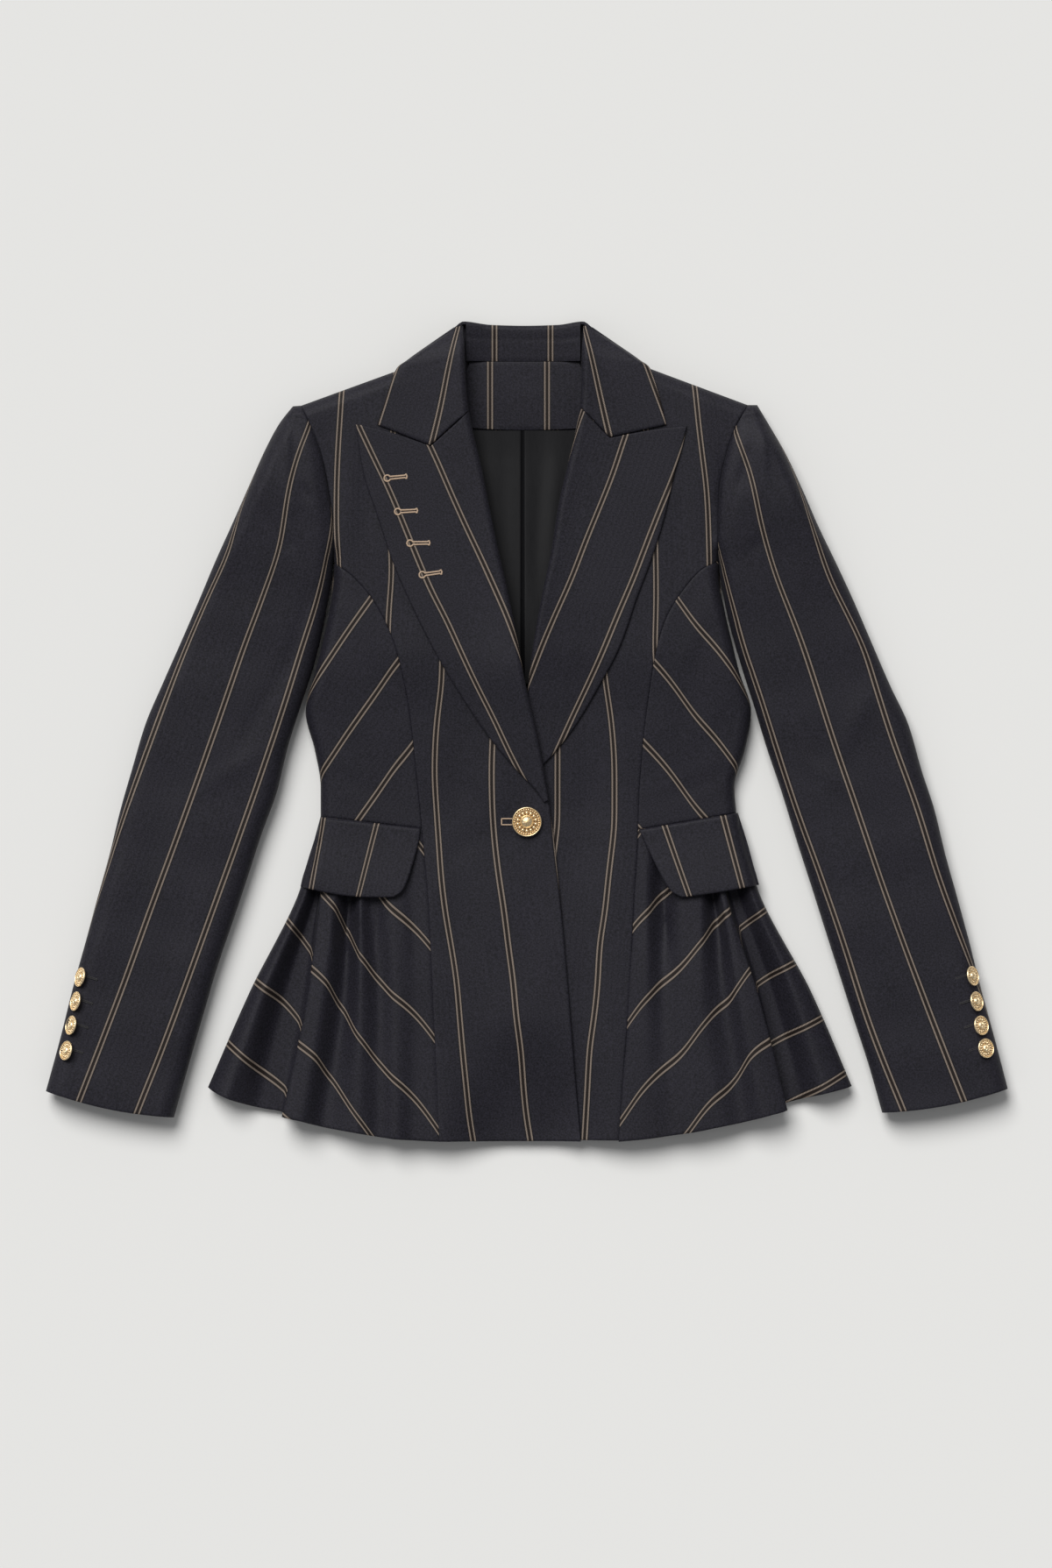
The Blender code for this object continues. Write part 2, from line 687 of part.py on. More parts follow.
def make_collar_stand(cloth):
    """Inner side of the collar behind the neck, up to the fold along its top."""
    x = np.linspace(*STAND_SPAN, 13)
    fold_y = smooth(UNDER_COLLAR["x"], UNDER_COLLAR["fold_y"], x)
    fold_z = smooth(UNDER_COLLAR["x"], UNDER_COLLAR["fold_z"], x) + GAP / 2
    turn = np.radians((90, 60, 30, 0))
    y = np.concatenate(
        (
            np.full((1, len(x)), STAND_SEAM),
            np.full((1, len(x)), 0.5 * (STAND_SEAM + 335)),
            fold_y - STAND_RADIUS * (1 - np.cos(turn))[:, None],
        )
    )
    top = fold_z + STAND_RADIUS
    low = np.maximum(STAND_LIFT, top - 2)
    bend = fold_z + STAND_RADIUS * np.sin(turn)[:, None]
    z = np.concatenate((low[None], 0.5 * (low + top)[None], bend))
    points = np.stack((np.broadcast_to(x, y.shape), y, z), -1)
    return shell("collar_stand", None, points, CLOTH, 1, cloth, sideways=(LAST,))


def make_under_collar(cloth):
    x = np.linspace(UNDER_COLLAR["x"][0], UNDER_COLLAR["x"][-1], 19)
    low_y, fold_y, fold_z = (
        smooth(UNDER_COLLAR["x"], UNDER_COLLAR[name], x) for name in ("low_y", "fold_y", "fold_z")
    )
    fold_z = fold_z - GAP / 2
    radius = np.minimum(8, np.minimum(fold_z + 1, 0.6 * (fold_y - low_y)))
    turn = np.radians((0, 30, 60, 90))[:, None]
    bend = fold_y - radius * (1 - np.sin(turn))
    y = np.concatenate((low_y[None], 0.5 * (low_y + fold_y - radius)[None], bend))
    z = np.concatenate((0 * x[None], 0 * x[None], fold_z * (1 - np.cos(turn))))
    points = np.stack((np.broadcast_to(x, y.shape), y, z), -1)
    return shell("collar_under", None, points, LAPEL_CLOTH, -1, cloth, upright=(FIRST,), sideways=(LAST,))


def back_ground(side, steps):
    """Plan of the body's lower layer: neck and shoulder, armhole, then the side line."""
    front = FRONT[side]
    armhole = np.stack((front["out_x"], front["out_y"]), 1)[:ARMHOLE_ROWS]
    side_y = np.array((112, 82, 50, 16, -16, -46, SIDE_FRONT[side]["out_y"][-1]))
    beside = np.stack((smooth(SIDE_LINE["y"], SIDE_LINE[side], side_y), side_y), 1)
    out = np.concatenate((armhole, beside))
    middle = np.linspace(STAND_SEAM - GAP, SIDE_FRONT[side]["in_y"][-1], len(out))
    rows = {"in_x": 0 * middle + GAP / 2, "in_y": middle, "out_x": out[:, 0], "out_y": out[:, 1]}
    _, shares, inner, outer = strip(with_shoulder_rows(rows))
    width = np.linalg.norm(outer - inner, axis=1)
    ground = plan(inner, outer, across(width, 0, SIDE_ROLL, steps))
    x = ground[..., 0]
    neck_x = (0, 46, 58, NECK_POINT[0], out[0, 0])
    neck_y = np.interp(x, neck_x, (middle[0], middle[0], 312.5, NECK_POINT[1], out[0, 1]))
    straight = middle[0] + (out[0, 1] - middle[0]) * x / out[0, 0]
    ground[..., 1] += (neck_y - straight) * np.clip(1 - shares / 0.22, 0, 1)[:, None] ** 1.5
    return ground


def make_back(side, cloth):
    ground = back_ground(side, (0, 8, 3))
    points = with_height(ground, back_face(side, ground[..., 0], ground[..., 1]))
    below_arm = np.s_[ARMHOLE_ROWS + 3:, -1]
    shoulder = np.s_[0, 3:]
    name = f"back_{side}"
    upright = (INNER, LAST)
    return shell(name, side, points, CLOTH, -1, cloth, upright=upright, sideways=(below_arm, shoulder))


def make_back_peplum(side, cloth):
    """Back skirt, under the peplum and the front, just inside their hem."""
    rows = PEPLUM[side]
    depth = PEPLUM_DEPTH
    side_edge = peplum_points(side, np.array((1.0,)), depth)[:, 0, :2]
    inner_y = smooth((0, 1), (SIDE_FRONT[side]["in_y"][-1] - GAP, rows["hem_y"][0] + 5), depth)
    inner = np.stack((0 * depth + GAP / 2, inner_y), 1)
    width = np.linalg.norm(side_edge - inner, axis=1)
    ground = plan(inner, side_edge, across(width, 0, SIDE_ROLL, (0, 6, 3)))
    bow = np.sin(np.pi * np.clip(ground[..., 0] / side_edge[:, :1], 0, 1)) * depth[:, None] ** 2
    ground[..., 1] -= 6 * bow
    seam = level("seam", ground[..., 1])
    beside = np.linalg.norm(side_edge[:, None] - ground, axis=-1)
    height = np.minimum(seam * (1 - roll(beside / SIDE_ROLL)), seam - GAP / 2)
    height[:, -1] = level("seam", side_edge[:, 1]) - GAP / 2
    points = with_height(ground, height)
    name = f"back_peplum_{side}"
    return shell(name, side, points, CLOTH, -1, cloth, upright=(INNER, FIRST), sideways=(OUTER,))


def sleeve_ground(side, steps):
    rows = with_shoulder_rows(SLEEVE[side])
    knot, shares, inner, outer = strip(rows)
    top = smooth(knot, rows["top"], shares)[:, None]
    at_armhole = np.arange(len(shares)) < ARMHOLE_ROWS + 3
    inner[:, 0] += np.where(at_armhole, GAP, 2 * GAP)
    width = np.linalg.norm(outer - inner, axis=1)
    ground = plan(inner, outer, across(width, SLEEVE_ROLL, SLEEVE_ROLL, steps))
    distance = np.linalg.norm(ground - inner[:, None], axis=-1)
    share = distance / width[:, None]
    ground[..., 1] -= CUFF_SAG * np.sin(np.pi * share) * shares[:, None] ** 8
    return top, ground, distance, width[:, None], at_armhole


def sleeve_half(name, side, points, face, at_armhole, cloth):
    """Upper or under half; its wall is thinner in the first rows, at the corner of the head."""
    wall = np.full(points.shape[:2], CLOTH)
    wall[:2] = 0.6 * CLOTH
    underarm = int(at_armhole.sum())
    upright = (np.s_[1:underarm, 0],)
    sideways = (FIRST, OUTER, np.s_[underarm:, 0])
    return shell(name, side, points, wall, face, cloth, upright=upright, sideways=sideways)


def sleeve_seam(y):
    """Height of the sleeve's two edges, which meet the body's side seam at the armhole."""
    return SLEEVE_SEAM + (level("seam", y) - SLEEVE_SEAM) * ease((y - 60) / 100)


def make_topsleeve(side, cloth):
    top, ground, distance, width, at_armhole = sleeve_ground(side, (3, 4, 3))
    hole = front_face(side, ground[:, 0, 0] - GAP, ground[:, 0, 1])
    seam = (sleeve_seam(ground[:, 0, 1]) + GAP / 2)[:, None]
    start = np.where(at_armhole, hole, seam[:, 0])[:, None]
    turn_in = roll(distance / np.minimum(SLEEVE_ROLL, 0.45 * width))
    turn_out = roll((width - distance) / np.minimum(SLEEVE_ROLL, 0.45 * width))
    height = seam + turn_out * ((start - seam) + np.maximum(top - start, 0) * turn_in)
    height[:, 0] = start[:, 0]
    height[0] = seam[0] + GAP
    return sleeve_half(f"topsleeve_{side}", side, with_height(ground, height), 1, at_armhole, cloth)


def make_undersleeve(side, cloth):
    _, ground, distance, width, at_armhole = sleeve_ground(side, (3, 2, 3))
    hole = back_face(side, ground[:, 0, 0] - GAP, ground[:, 0, 1])
    seam = (sleeve_seam(ground[:, 0, 1]) - GAP / 2)[:, None]
    start = np.where(at_armhole, hole, seam[:, 0])[:, None]
    turn_in = roll(distance / np.minimum(SLEEVE_ROLL, 0.45 * width))
    turn_out = roll((width - distance) / np.minimum(SLEEVE_ROLL, 0.45 * width))
    height = seam - turn_out * (seam - start * (1 - turn_in))
    height[:, 0] = start[:, 0]
    height[0] = seam[0] - GAP
    return sleeve_half(f"undersleeve_{side}", side, with_height(ground, height), -1, at_armhole, cloth)


def on_back(x, y):
    """Height just above the inside of the back, where facing and lining lie."""
    right, left = (back_face(side, np.abs(x), y) for side in ("right", "left"))
    return np.where(x < 0, right, left) + CLOTH + LAYER


def make_neck_facing(cloth):
    share, y = np.meshgrid(np.linspace(-1, 1, 11), np.linspace(FACING_TOP, FACING_LOW, 6))
    x = share * (FACING_HALF - FACING_TAPER * ease((y - 280) / 28)) - 2
    scoop = 3.5 * (x / FACING_HALF) ** 2 * (y < FACING_LOW + 1)
    points = np.stack((x, y + scoop, on_back(x, y) + FACING_CLOTH), -1)
    return shell("neck_facing", None, points, FACING_CLOTH, 1, cloth)


def make_lining(satin):
    y = np.linspace(LINING["y"][0] - GAP, LINING["y"][-1], 10)
    right, left = (np.interp(-y, -LINING["y"], LINING[side]) for side in ("right", "left"))
    share = np.linspace(0, 1, 15)
    x = -right[:, None] + (right + left)[:, None] * share
    y = np.broadcast_to(y[:, None], x.shape)
    pleat = PLEAT["height"] * np.exp(-(((x - PLEAT["x"]) / PLEAT["width"]) ** 2))
    points = np.stack((x, y, on_back(x, y) + LINING_CLOTH + pleat), -1)
    return shell("lining", None, points, LINING_CLOTH, 1, satin)


def button(name, size, sides, metal, centre, normal):
    """Turned button: short shank, flat back, raised rim, groove and dome."""
    r = size / 2
    profile = (
        (0.22 * r, 0.0),
        (0.22 * r, 0.10 * r),
        (0.90 * r, 0.12 * r),
        (r, 0.22 * r),
        (0.93 * r, 0.36 * r),
        (0.74 * r, 0.28 * r),
        (0.40 * r, 0.48 * r),
    )
    verts, faces = [], []
    for radius, height in profile:
        for k in range(sides):
            angle = 2 * math.pi * k / sides
            verts.append((radius * math.cos(angle), radius * math.sin(angle), height))
    for ring in range(len(profile) - 1):
        for k in range(sides):
            a, b = ring * sides + k, ring * sides + (k + 1) % sides
            faces.append((a, b, b + sides, a + sides))
    low, crown = len(verts), len(verts) + 1
    verts += [(0, 0, 0), (0, 0, 0.54 * r)]
    last = (len(profile) - 1) * sides
    for k in range(sides):
        faces.append((low, (k + 1) % sides, k))
        faces.append((crown, last + k, last + (k + 1) % sides))
    mesh = bpy.data.meshes.new(name)
    mesh.from_pydata([Vector(v) * MM for v in verts], [], faces)
    mesh.shade_smooth()
    mesh.set_sharp_from_angle(angle=math.radians(45))
    mesh.materials.append(metal)
    piece = bpy.data.objects.new(name, mesh)
    bpy.context.collection.objects.link(piece)
    piece.location = Vector(centre) * MM
    piece.rotation_euler = Vector(normal).to_track_quat("Z", "Y").to_euler()
    return piece


def cuff_button_place(side, y, turn):
    """Point and normal on the sleeve's outer roll where it has turned by the given angle."""
    rows = SLEEVE[side]
    edge_x = np.interp(-y, -rows["out_y"], rows["out_x"])
    rise = rows["top"][-1] - SLEEVE_SEAM
    run = SLEEVE_ROLL
    slope = math.tan(math.radians(turn))
    share = slope * run / math.hypot(rise, slope * run)
    x = edge_x - run + run * share
    z = SLEEVE_SEAM + rise * math.sqrt(1 - share * share)
    out = math.sin(math.radians(turn))
    lean = np.array((out, SLEEVE_SLANT * out, math.cos(math.radians(turn))))
    lean /= np.linalg.norm(lean)
    point = np.array((x, y, z)) + GAP * lean
    flip = (SIGN[side], 1, 1)
    return point * flip, lean * flip


def paint(name, colour, roughness, metallic=0.0):
    material = bpy.data.materials.new(name)
    material.use_nodes = True
    shader = material.node_tree.nodes["Principled BSDF"]
    shader.inputs["Base Color"].default_value = (*colour, 1)
    shader.inputs["Roughness"].default_value = roughness
    shader.inputs["Metallic"].default_value = metallic
    return material


def main():
    for old in list(bpy.data.objects):
        bpy.data.objects.remove(old, do_unlink=True)
    makers = {
        "front": make_front,
        "side_front": make_side_front,
        "peplum": make_peplum,
        "flap": make_flap,
        "lapel": make_lapel,
        "collar": make_collar,
        "back": make_back,
        "back_peplum": make_back_peplum,
        "topsleeve": make_topsleeve,
        "undersleeve": make_undersleeve,
    }
    for side in SIGN:
        for name, make in makers.items():
            make(side, paint(f"suiting_{name}_{side}", (0.028, 0.026, 0.034), 0.85))
    make_collar_stand(paint("suiting_stand", (0.028, 0.026, 0.034), 0.85))
    make_under_collar(paint("suiting_under", (0.028, 0.026, 0.034), 0.85))
    make_neck_facing(paint("suiting_facing", (0.030, 0.028, 0.034), 0.85))
    make_lining(paint("satin", (0.025, 0.025, 0.027), 0.45))
    gold = paint("gold", (0.80, 0.56, 0.26), 0.28, 1.0)
    middle = np.array((0.0, -75.5))
    base = float(front_face("right", middle[0], middle[1]))
    button("front_button", FRONT_BUTTON, 24, gold, (middle[0], middle[1], base + GAP), (0, 0, 1))
    for side in SIGN:
        rows = CUFF_ROWS[side]
        for k, (y, turn) in enumerate(zip(rows["y"], rows["turn"]), 1):
            place, lean = cuff_button_place(side, y, turn)
            button(f"cuff_button_{side}_{k}", CUFF_BUTTON, 12, gold, place, lean)


main()
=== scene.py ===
# Fitted blazer laid flat: every cut piece as striped suiting, with its seams, folds and gold buttons.
# Tables are in millimetres, meshes in metres. x in a table is counted outward from the middle line,
# "right" and "left" are the wearer's, and the camera looks straight down.
import math

import bpy
import numpy as np
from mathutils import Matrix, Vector


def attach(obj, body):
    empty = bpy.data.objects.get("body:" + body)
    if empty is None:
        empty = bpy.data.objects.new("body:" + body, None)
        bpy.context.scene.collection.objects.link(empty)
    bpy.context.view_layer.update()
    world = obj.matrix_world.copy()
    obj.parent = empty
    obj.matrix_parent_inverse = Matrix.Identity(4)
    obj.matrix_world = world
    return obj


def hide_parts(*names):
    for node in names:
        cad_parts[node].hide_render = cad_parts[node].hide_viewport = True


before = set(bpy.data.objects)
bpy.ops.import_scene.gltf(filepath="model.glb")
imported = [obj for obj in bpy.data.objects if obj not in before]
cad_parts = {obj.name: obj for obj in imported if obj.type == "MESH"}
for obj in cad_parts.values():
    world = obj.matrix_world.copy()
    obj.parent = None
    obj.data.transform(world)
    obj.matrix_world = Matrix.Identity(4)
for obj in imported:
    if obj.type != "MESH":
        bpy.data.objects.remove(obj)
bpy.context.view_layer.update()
mm = 0.001
sign = {"right": -1, "left": 1}


def table(columns, *rows):
    return dict(zip(columns.split(), np.array(rows, float).T))


# sizes that several pieces share
blazer = {
    "cloth": 1.6,          # wall of the suiting with its interlining
    "lapelCloth": 2.2,
    "layer": 0.7,          # air between two layers
    "gap": 0.3,
    "shoulderRoll": 12,
    "sideRoll": 10,
    "sleeveRoll": 14,
    "collarRoll": 10,
    "neckRaise": 2.5,
    "grid": 2.6,           # size of a mesh cell
    "seamDip": 0.75,       # how far a seam is sewn down
    "seamReach": 2.6,
    "hem": (1.0, 2.0),     # how far a hem is pressed down, and over how much
    "pressedRows": (0.3, 0.9, 1.8),    # rows near an edge that is pressed
    "stripeGap": 48.0,     # from one double stripe to the next
}

# height of the front's outer face and of the side seam
levels = table(
    "y front seam",
    (-345, 22, 10),   # hem
    (-140, 18.5, 9), (-75, 17, 8.5),   # waist
    (10, 21, 10.5), (70, 26, 13),   # bust
    (200, 26, 13), (330, 26, 13),
)
# how far the right front lies above the left one
closure = table(
    "y lift",
    (-345, 3.6), (-90, 3.6), (-60, 6), (40, 7), (75, 3), (115, 0), (330, 0),
)
sideLine = table(
    "y right left",
    (-345, 266, 270), (-140, 188, 194), (-71, 172, 175), (-47, 172, 173), (-15, 177, 182),
    (16, 184.5, 187), (50, 176.5, 177), (74, 170.5, 171), (98, 165.5, 165.5), (130, 161, 160),
    (145, 161.8, 160.5), (160, 169, 168), (185, 190, 189), (220, 240, 240),
)
shoulderEnd = {"right": (188, 271.5), "left": (184, 272.0)}
neckPoint = (70, 314.5)


# curves and surfaces
def smooth(knot, value, at):
    # cubic through the values that never swings past them
    knot, value, at = (np.asarray(a, float) for a in (knot, value, at))
    if knot[0] > knot[-1]:
        knot, at = -knot, -at
    step = np.diff(knot)
    slope = np.diff(value) / step
    before, after = slope[:-1], slope[1:]
    sameWay = before * after > 0
    weight = 2 * step[1:] + step[:-1], step[1:] + 2 * step[:-1]
    bottom = np.where(sameWay, weight[0] * after + weight[1] * before, 1)
    inner = np.where(sameWay, (weight[0] + weight[1]) * before * after / bottom, 0)
    tangent = np.concatenate((slope[:1], inner, slope[-1:]))
    i = np.clip(np.searchsorted(knot, at, side="right") - 1, 0, len(step) - 1)
    t = np.clip((at - knot[i]) / step[i], 0, 1)
    start = (1 + 2 * t) * (1 - t) ** 2 * value[i] + t * (1 - t) ** 2 * step[i] * tangent[i]
    end = t * t * (3 - 2 * t) * value[i + 1] - t * t * (1 - t) * step[i] * tangent[i + 1]
    return start + end


def ease(share):
    t = np.clip(share, 0, 1)
    return t * t * (3 - 2 * t)


def roll(share):
    return np.sqrt(1 - (1 - np.clip(share, 0, 1)) ** 2)  # quarter round


def runningSum(values, axis=-1):
    return np.insert(np.cumsum(values, axis=axis), 0, 0, axis=axis)  # with a zero before the first


def edgeSteps(reach, count=5):
    return reach * (1 - np.cos(np.linspace(0, math.pi / 2, count + 1)))


def strip(rows, first=(), last=(), step=blazer["grid"]):
    # the two edges of a panel, sampled evenly, with extra rows at the given distances from its ends
    ends = [np.stack((rows[f"{end}_x"], rows[f"{end}_y"]), 1) for end in ("in", "out")]
    length = sum(np.linalg.norm(np.diff(end, axis=0), axis=1) for end in ends) / 2
    total = length.sum()
    knot = runningSum(length) / total
    even = np.linspace(0, 1, int(total / step) + 1)
    shares = np.concatenate((even, np.asarray(first) / total, 1 - np.asarray(last) / total))
    shares = np.unique(np.round(shares, 6))
    inner, outer = (np.stack([smooth(knot, end[:, k], shares) for k in (0, 1)], -1) for end in ends)
    return knot, shares, inner, outer, shares * total


def across(width, inRoll, outRoll, turns=(6, 6), step=blazer["grid"]):
    # distances from the inner edge, close together where the cloth turns down
    start = np.minimum(inRoll, 0.45 * width)
    end = np.minimum(outRoll, 0.45 * width)
    turnIn = 1 - np.cos(np.linspace(0, math.pi / 2, turns[0] + 1))
    turnOut = 1 - np.cos(np.linspace(math.pi / 2, 0, turns[1] + 1))
    flat = np.linspace(0, 1, max(4, int(width.max() / step)))[1:-1]
    middle = start[:, None] + (width - start - end)[:, None] * flat
    return np.concatenate((start[:, None] * turnIn, middle, width[:, None] - end[:, None] * turnOut), 1)


def plan(inner, outer, distance):
    way = outer - inner
    way = way / np.linalg.norm(way, axis=1)[:, None]
    return inner[:, None, :] + way[:, None, :] * distance[..., None]


def laid(inner, outer, *rolls):
    # a panel's points between its two edges, as distances from the inner one and as places
    distance = across(np.linalg.norm(outer - inner, axis=1), *rolls)
    return distance, plan(inner, outer, distance)


def level(column, y):
    return smooth(levels["y"], levels[column], y)


def sideSeam(side, y):
    return smooth(sideLine["y"], sideLine[side], y)


def liftOfClosure(side, x, y):
    half = 0.5 * smooth(closure["y"], closure["lift"], y)
    at = sign[side] * x
    if side == "right":
        return half * ease((at + 62) / 45)
    return -half * (1 - ease((at - 46) / 38))


def edgeRoll(side, x, y):
    # 1 on the level part of the body, 0 at its side and shoulder
    endX, endY = shoulderEnd[side]
    run = math.hypot(endX - neckPoint[0], neckPoint[1] - endY)
    fall = (neckPoint[1] - endY) / run
    shoulder = (endY - y) * (endX - neckPoint[0]) / run + (endX - x) * fall
    beside = sideSeam(side, y) - x
    return roll(shoulder / blazer["shoulderRoll"]) * roll(beside / blazer["sideRoll"])


def frontFace(side, x, y):
    seam = level("seam", y)
    face = seam + (level("front", y) - seam) * edgeRoll(side, x, y)
    return np.maximum(face, seam + blazer["gap"] / 2) + liftOfClosure(side, x, y)


def backFace(side, x, y):
    seam = level("seam", y)
    rest = blazer["neckRaise"] * ease((y - 225) / 62) * (1 - ease((x - 108) / 16))
    turned = rest + (seam - rest) * (1 - edgeRoll(side, x, y))
    return np.minimum(turned, seam - blazer["gap"] / 2)


def tuck(distance, depth=blazer["seamDip"], reach=blazer["seamReach"]):
    return -depth * (1 - roll(distance / reach))  # an edge that is sewn or pressed down


def creases(rows, x, y):
    # soft troughs (depth below 0) and ridges, each along a line with fading ends
    height = np.zeros(np.shape(x))
    if not rows:
        return height
    lines = table("x1 y1 x2 y2 width depth", *rows)
    for x1, y1, x2, y2, width, depth in zip(*lines.values()):
        along = np.array((x2 - x1, y2 - y1))
        length = np.linalg.norm(along)
        along = along / length
        t = (x - x1) * along[0] + (y - y1) * along[1]
        beside = ((y - y1) * along[0] - (x - x1) * along[1]) / width
        past = np.maximum(np.maximum(-t, t - length), 0) / (3 * width)
        taper = 0.35 + 0.65 * np.sin(np.pi * np.clip(t / length, 0, 1))
        height += depth * taper * np.exp(-(beside**2) - past**2)
    return height


def drift(x, y, seed, size=0.35):
    # the slow unevenness that cloth keeps when it lies flat
    rng = np.random.default_rng(seed)
    height = np.zeros(np.shape(x))
    for wave in (58, 83, 121, 170):
        turn, phase = rng.uniform(0, 2 * math.pi, 2)
        height += np.sin((x * math.cos(turn) + y * math.sin(turn)) * 2 * math.pi / wave + phase)
    return size * height / 2


# stripes: each panel knows the number of the stripe at any place, in whole numbers on a stripe
def evened(knot, value, at, reach):
    # the curve through the values, without unevenness shorter than the reach, and straight beyond its ends
    order = np.argsort(knot)
    knot, value = (np.asarray(a, float)[order] for a in (knot, value))
    margin = 60 + 3 * reach
    fine = np.arange(knot[0] - margin, knot[-1] + margin)
    held = np.clip(fine, knot[0], knot[-1])
    before, after = ((value[k + 2] - value[k]) / (knot[k + 2] - knot[k]) for k in (0, -3))
    curve = smooth(knot, value, held) + (fine - held) * np.where(fine < knot[0], before, after)
    kernel = np.exp(-0.5 * (np.arange(-int(3 * reach), int(3 * reach) + 1) / reach) ** 2)
    return np.interp(at, fine, np.convolve(curve, kernel / kernel.sum(), mode="same"))


def stripesByLevel(rows, first=1.0, reach=9.0):
    # rows give the places of neighbouring stripes at each level, from the side to the middle
    lines = np.array(rows, float).T

    def number(x, y):
        place = [evened(lines[0], line, y, reach) for line in lines[1:]]
        result = first + (x - place[0]) / (place[1] - place[0])
        for k in range(1, len(place) - 1):
            beyond = (x - place[k]) / (place[k + 1] - place[k])
            result = np.where(beyond > 0, first + k + beyond, result)
        return result

    return number


def stripesByCurve(rows, step, reach=6.0):
    # rows are points along one stripe, and step is the distance to the next one down
    line = table("x y", *rows)
    return lambda x, y: (evened(line["x"], line["y"], x, reach) - y) / step


def stripesUp(x, y):
    return (x - backValues["stripes"]) / blazer["stripeGap"]


def stretchOf(points):
    # length of the cloth over its length seen from above, from each point of a row to the next
    step = np.diff(points, axis=1)
    return np.linalg.norm(step, axis=2) / np.maximum(np.linalg.norm(step[..., :2], axis=2), 1e-6)


def onCloth(number, points, along):
    # stripe number followed along each row by arc length, and the distance along the stripe
    x, y = points[..., 0], points[..., 1]
    flat, stretch = number(x, y), stretchOf(points)
    total = runningSum(np.diff(flat, axis=1) * np.where(stretch > 1.08, np.minimum(stretch, 12), 1))
    middle = flat.shape[1] // 2
    followed = total - total[:, middle:middle + 1] + flat[:, middle:middle + 1]
    return np.stack((followed, (x * along[0] + y * along[1]) / blazer["stripeGap"]), -1)


def relaid(flat, points, strength):
    # stripe numbers spaced by the cloth's own length between the two sides of a folded panel
    change = np.diff(flat, axis=1)
    longer = change * np.minimum(stretchOf(points), 1.7) ** strength
    whole = longer.sum(1, keepdims=True)
    longer *= change.sum(1, keepdims=True) / np.where(np.abs(whole) < 1e-6, 1, whole)
    return flat[:, :1] + runningSum(longer)


# meshes
def newPiece(name, verts, faces, material, uv=None, smoothTo=50):
    mesh = bpy.data.meshes.new(name)
    mesh.from_pydata((np.asarray(verts) * mm).tolist(), [], [list(map(int, f)) for f in faces])
    if uv is not None:
        layer = mesh.uv_layers.new(name="cloth")
        corner = np.empty(len(mesh.loops), int)
        mesh.loops.foreach_get("vertex_index", corner)
        layer.data.foreach_set("uv", uv[corner].astype(np.float32).ravel())
    mesh.shade_smooth()
    mesh.set_sharp_from_angle(angle=math.radians(smoothTo))
    mesh.materials.append(material)
    piece = bpy.data.objects.new(name, mesh)
    bpy.context.collection.objects.link(piece)
    return piece


def gridNormals(points):
    normal = np.cross(np.gradient(points, axis=1), np.gradient(points, axis=0))
    return normal / np.maximum(np.linalg.norm(normal, axis=2)[..., None], 1e-9)


def shell(name, points, wall, face, material, uv, upright, sideways):
    # closed wall behind a grid of outer points; face is 1 seen from above and -1 on the surface
    normal = gridNormals(points)
    if normal[..., 2].mean() * face < 0:
        normal = -normal
    flat = normal * (1, 1, 0)
    size = np.linalg.norm(flat, axis=2)[..., None]
    flat = np.where(size > 0.2, flat / np.maximum(size, 0.2), normal)
    for edge in upright:
        normal[edge] = (0, 0, face)
    for edge in sideways:
        normal[edge] = flat[edge]
    inside = points - normal * np.broadcast_to(wall, points.shape[:2])[..., None]
    count = points.shape[0] * points.shape[1]
    index = np.arange(count).reshape(points.shape[:2])
    quads = np.stack((index[:-1, :-1], index[:-1, 1:], index[1:, 1:], index[1:, :-1]), -1).reshape(-1, 4)
    loop = np.concatenate((index[0, :-1], index[:-1, -1], index[-1, :0:-1], index[:0:-1, 0]))
    after = np.roll(loop, -1)
    rim = np.stack((after, loop, loop + count, after + count), -1)
    faces = np.concatenate((quads, quads[:, ::-1] + count, rim))
    verts = np.concatenate((points.reshape(-1, 3), inside.reshape(-1, 3)))
    a, b, c = (verts[quads[:, k]] for k in range(3))
    turned = np.cross(b - a, c - a)
    if turned[:, 2].sum() * face < 0:
        faces = faces[:, ::-1]
    piece = newPiece(name, verts, faces, material, np.tile(uv.reshape(-1, 2), (2, 1)))
    return piece, float(np.linalg.norm(turned, axis=1).sum()) * mm * mm


def spread(points, axis):
    # the longest row or column of a grid, measured along the cloth
    return float(np.linalg.norm(np.diff(points, axis=axis), axis=2).sum(axis).max()) * mm


firstRow, lastRow, innerEdge, outerEdge = np.s_[0, :], np.s_[-1, :], np.s_[:, 0], np.s_[:, -1]


def withHeight(ground, height):
    return np.concatenate((ground, height[..., None]), axis=-1)


def fromEnds(distance, ground):
    # how far each point lies from its panel's inner and outer edge, its first and its last row
    down = runningSum(np.linalg.norm(np.diff(ground, axis=0), axis=2), 0)
    return distance, np.linalg.norm(ground - ground[:, -1:], axis=-1), down, down[-1] - down


def pieceName(node):
    first, *rest = node.split("_")
    return first + "".join(word.title() for word in rest)


def sew(part, side, points, uv, wall=blazer["cloth"], face=1, upright=(), sideways=(), slot="suiting",
        restsOn=(), name=None):
    # every cloth piece rides on the one body, stands for its CAD solid and is a sheet cut to size
    end = f"_{side}" if side else ""
    points = points * (sign.get(side, 1), 1, 1)
    cloth = {"suiting": suiting, "lining": satin}[slot]
    piece, area = shell(name or pieceName(part + end), points, wall, face, cloth, uv, upright, sideways)
    width, length = spread(points, 1), spread(points, 0)
    width = max(width, area / length)
    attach(piece, "root")
    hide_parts(part + end)
    below = [other + end for other in restsOn]
    print(f"  {part + end} {width / mm:.0f} x {length / mm:.0f} mm, {area * 1e4:.0f} cm2")


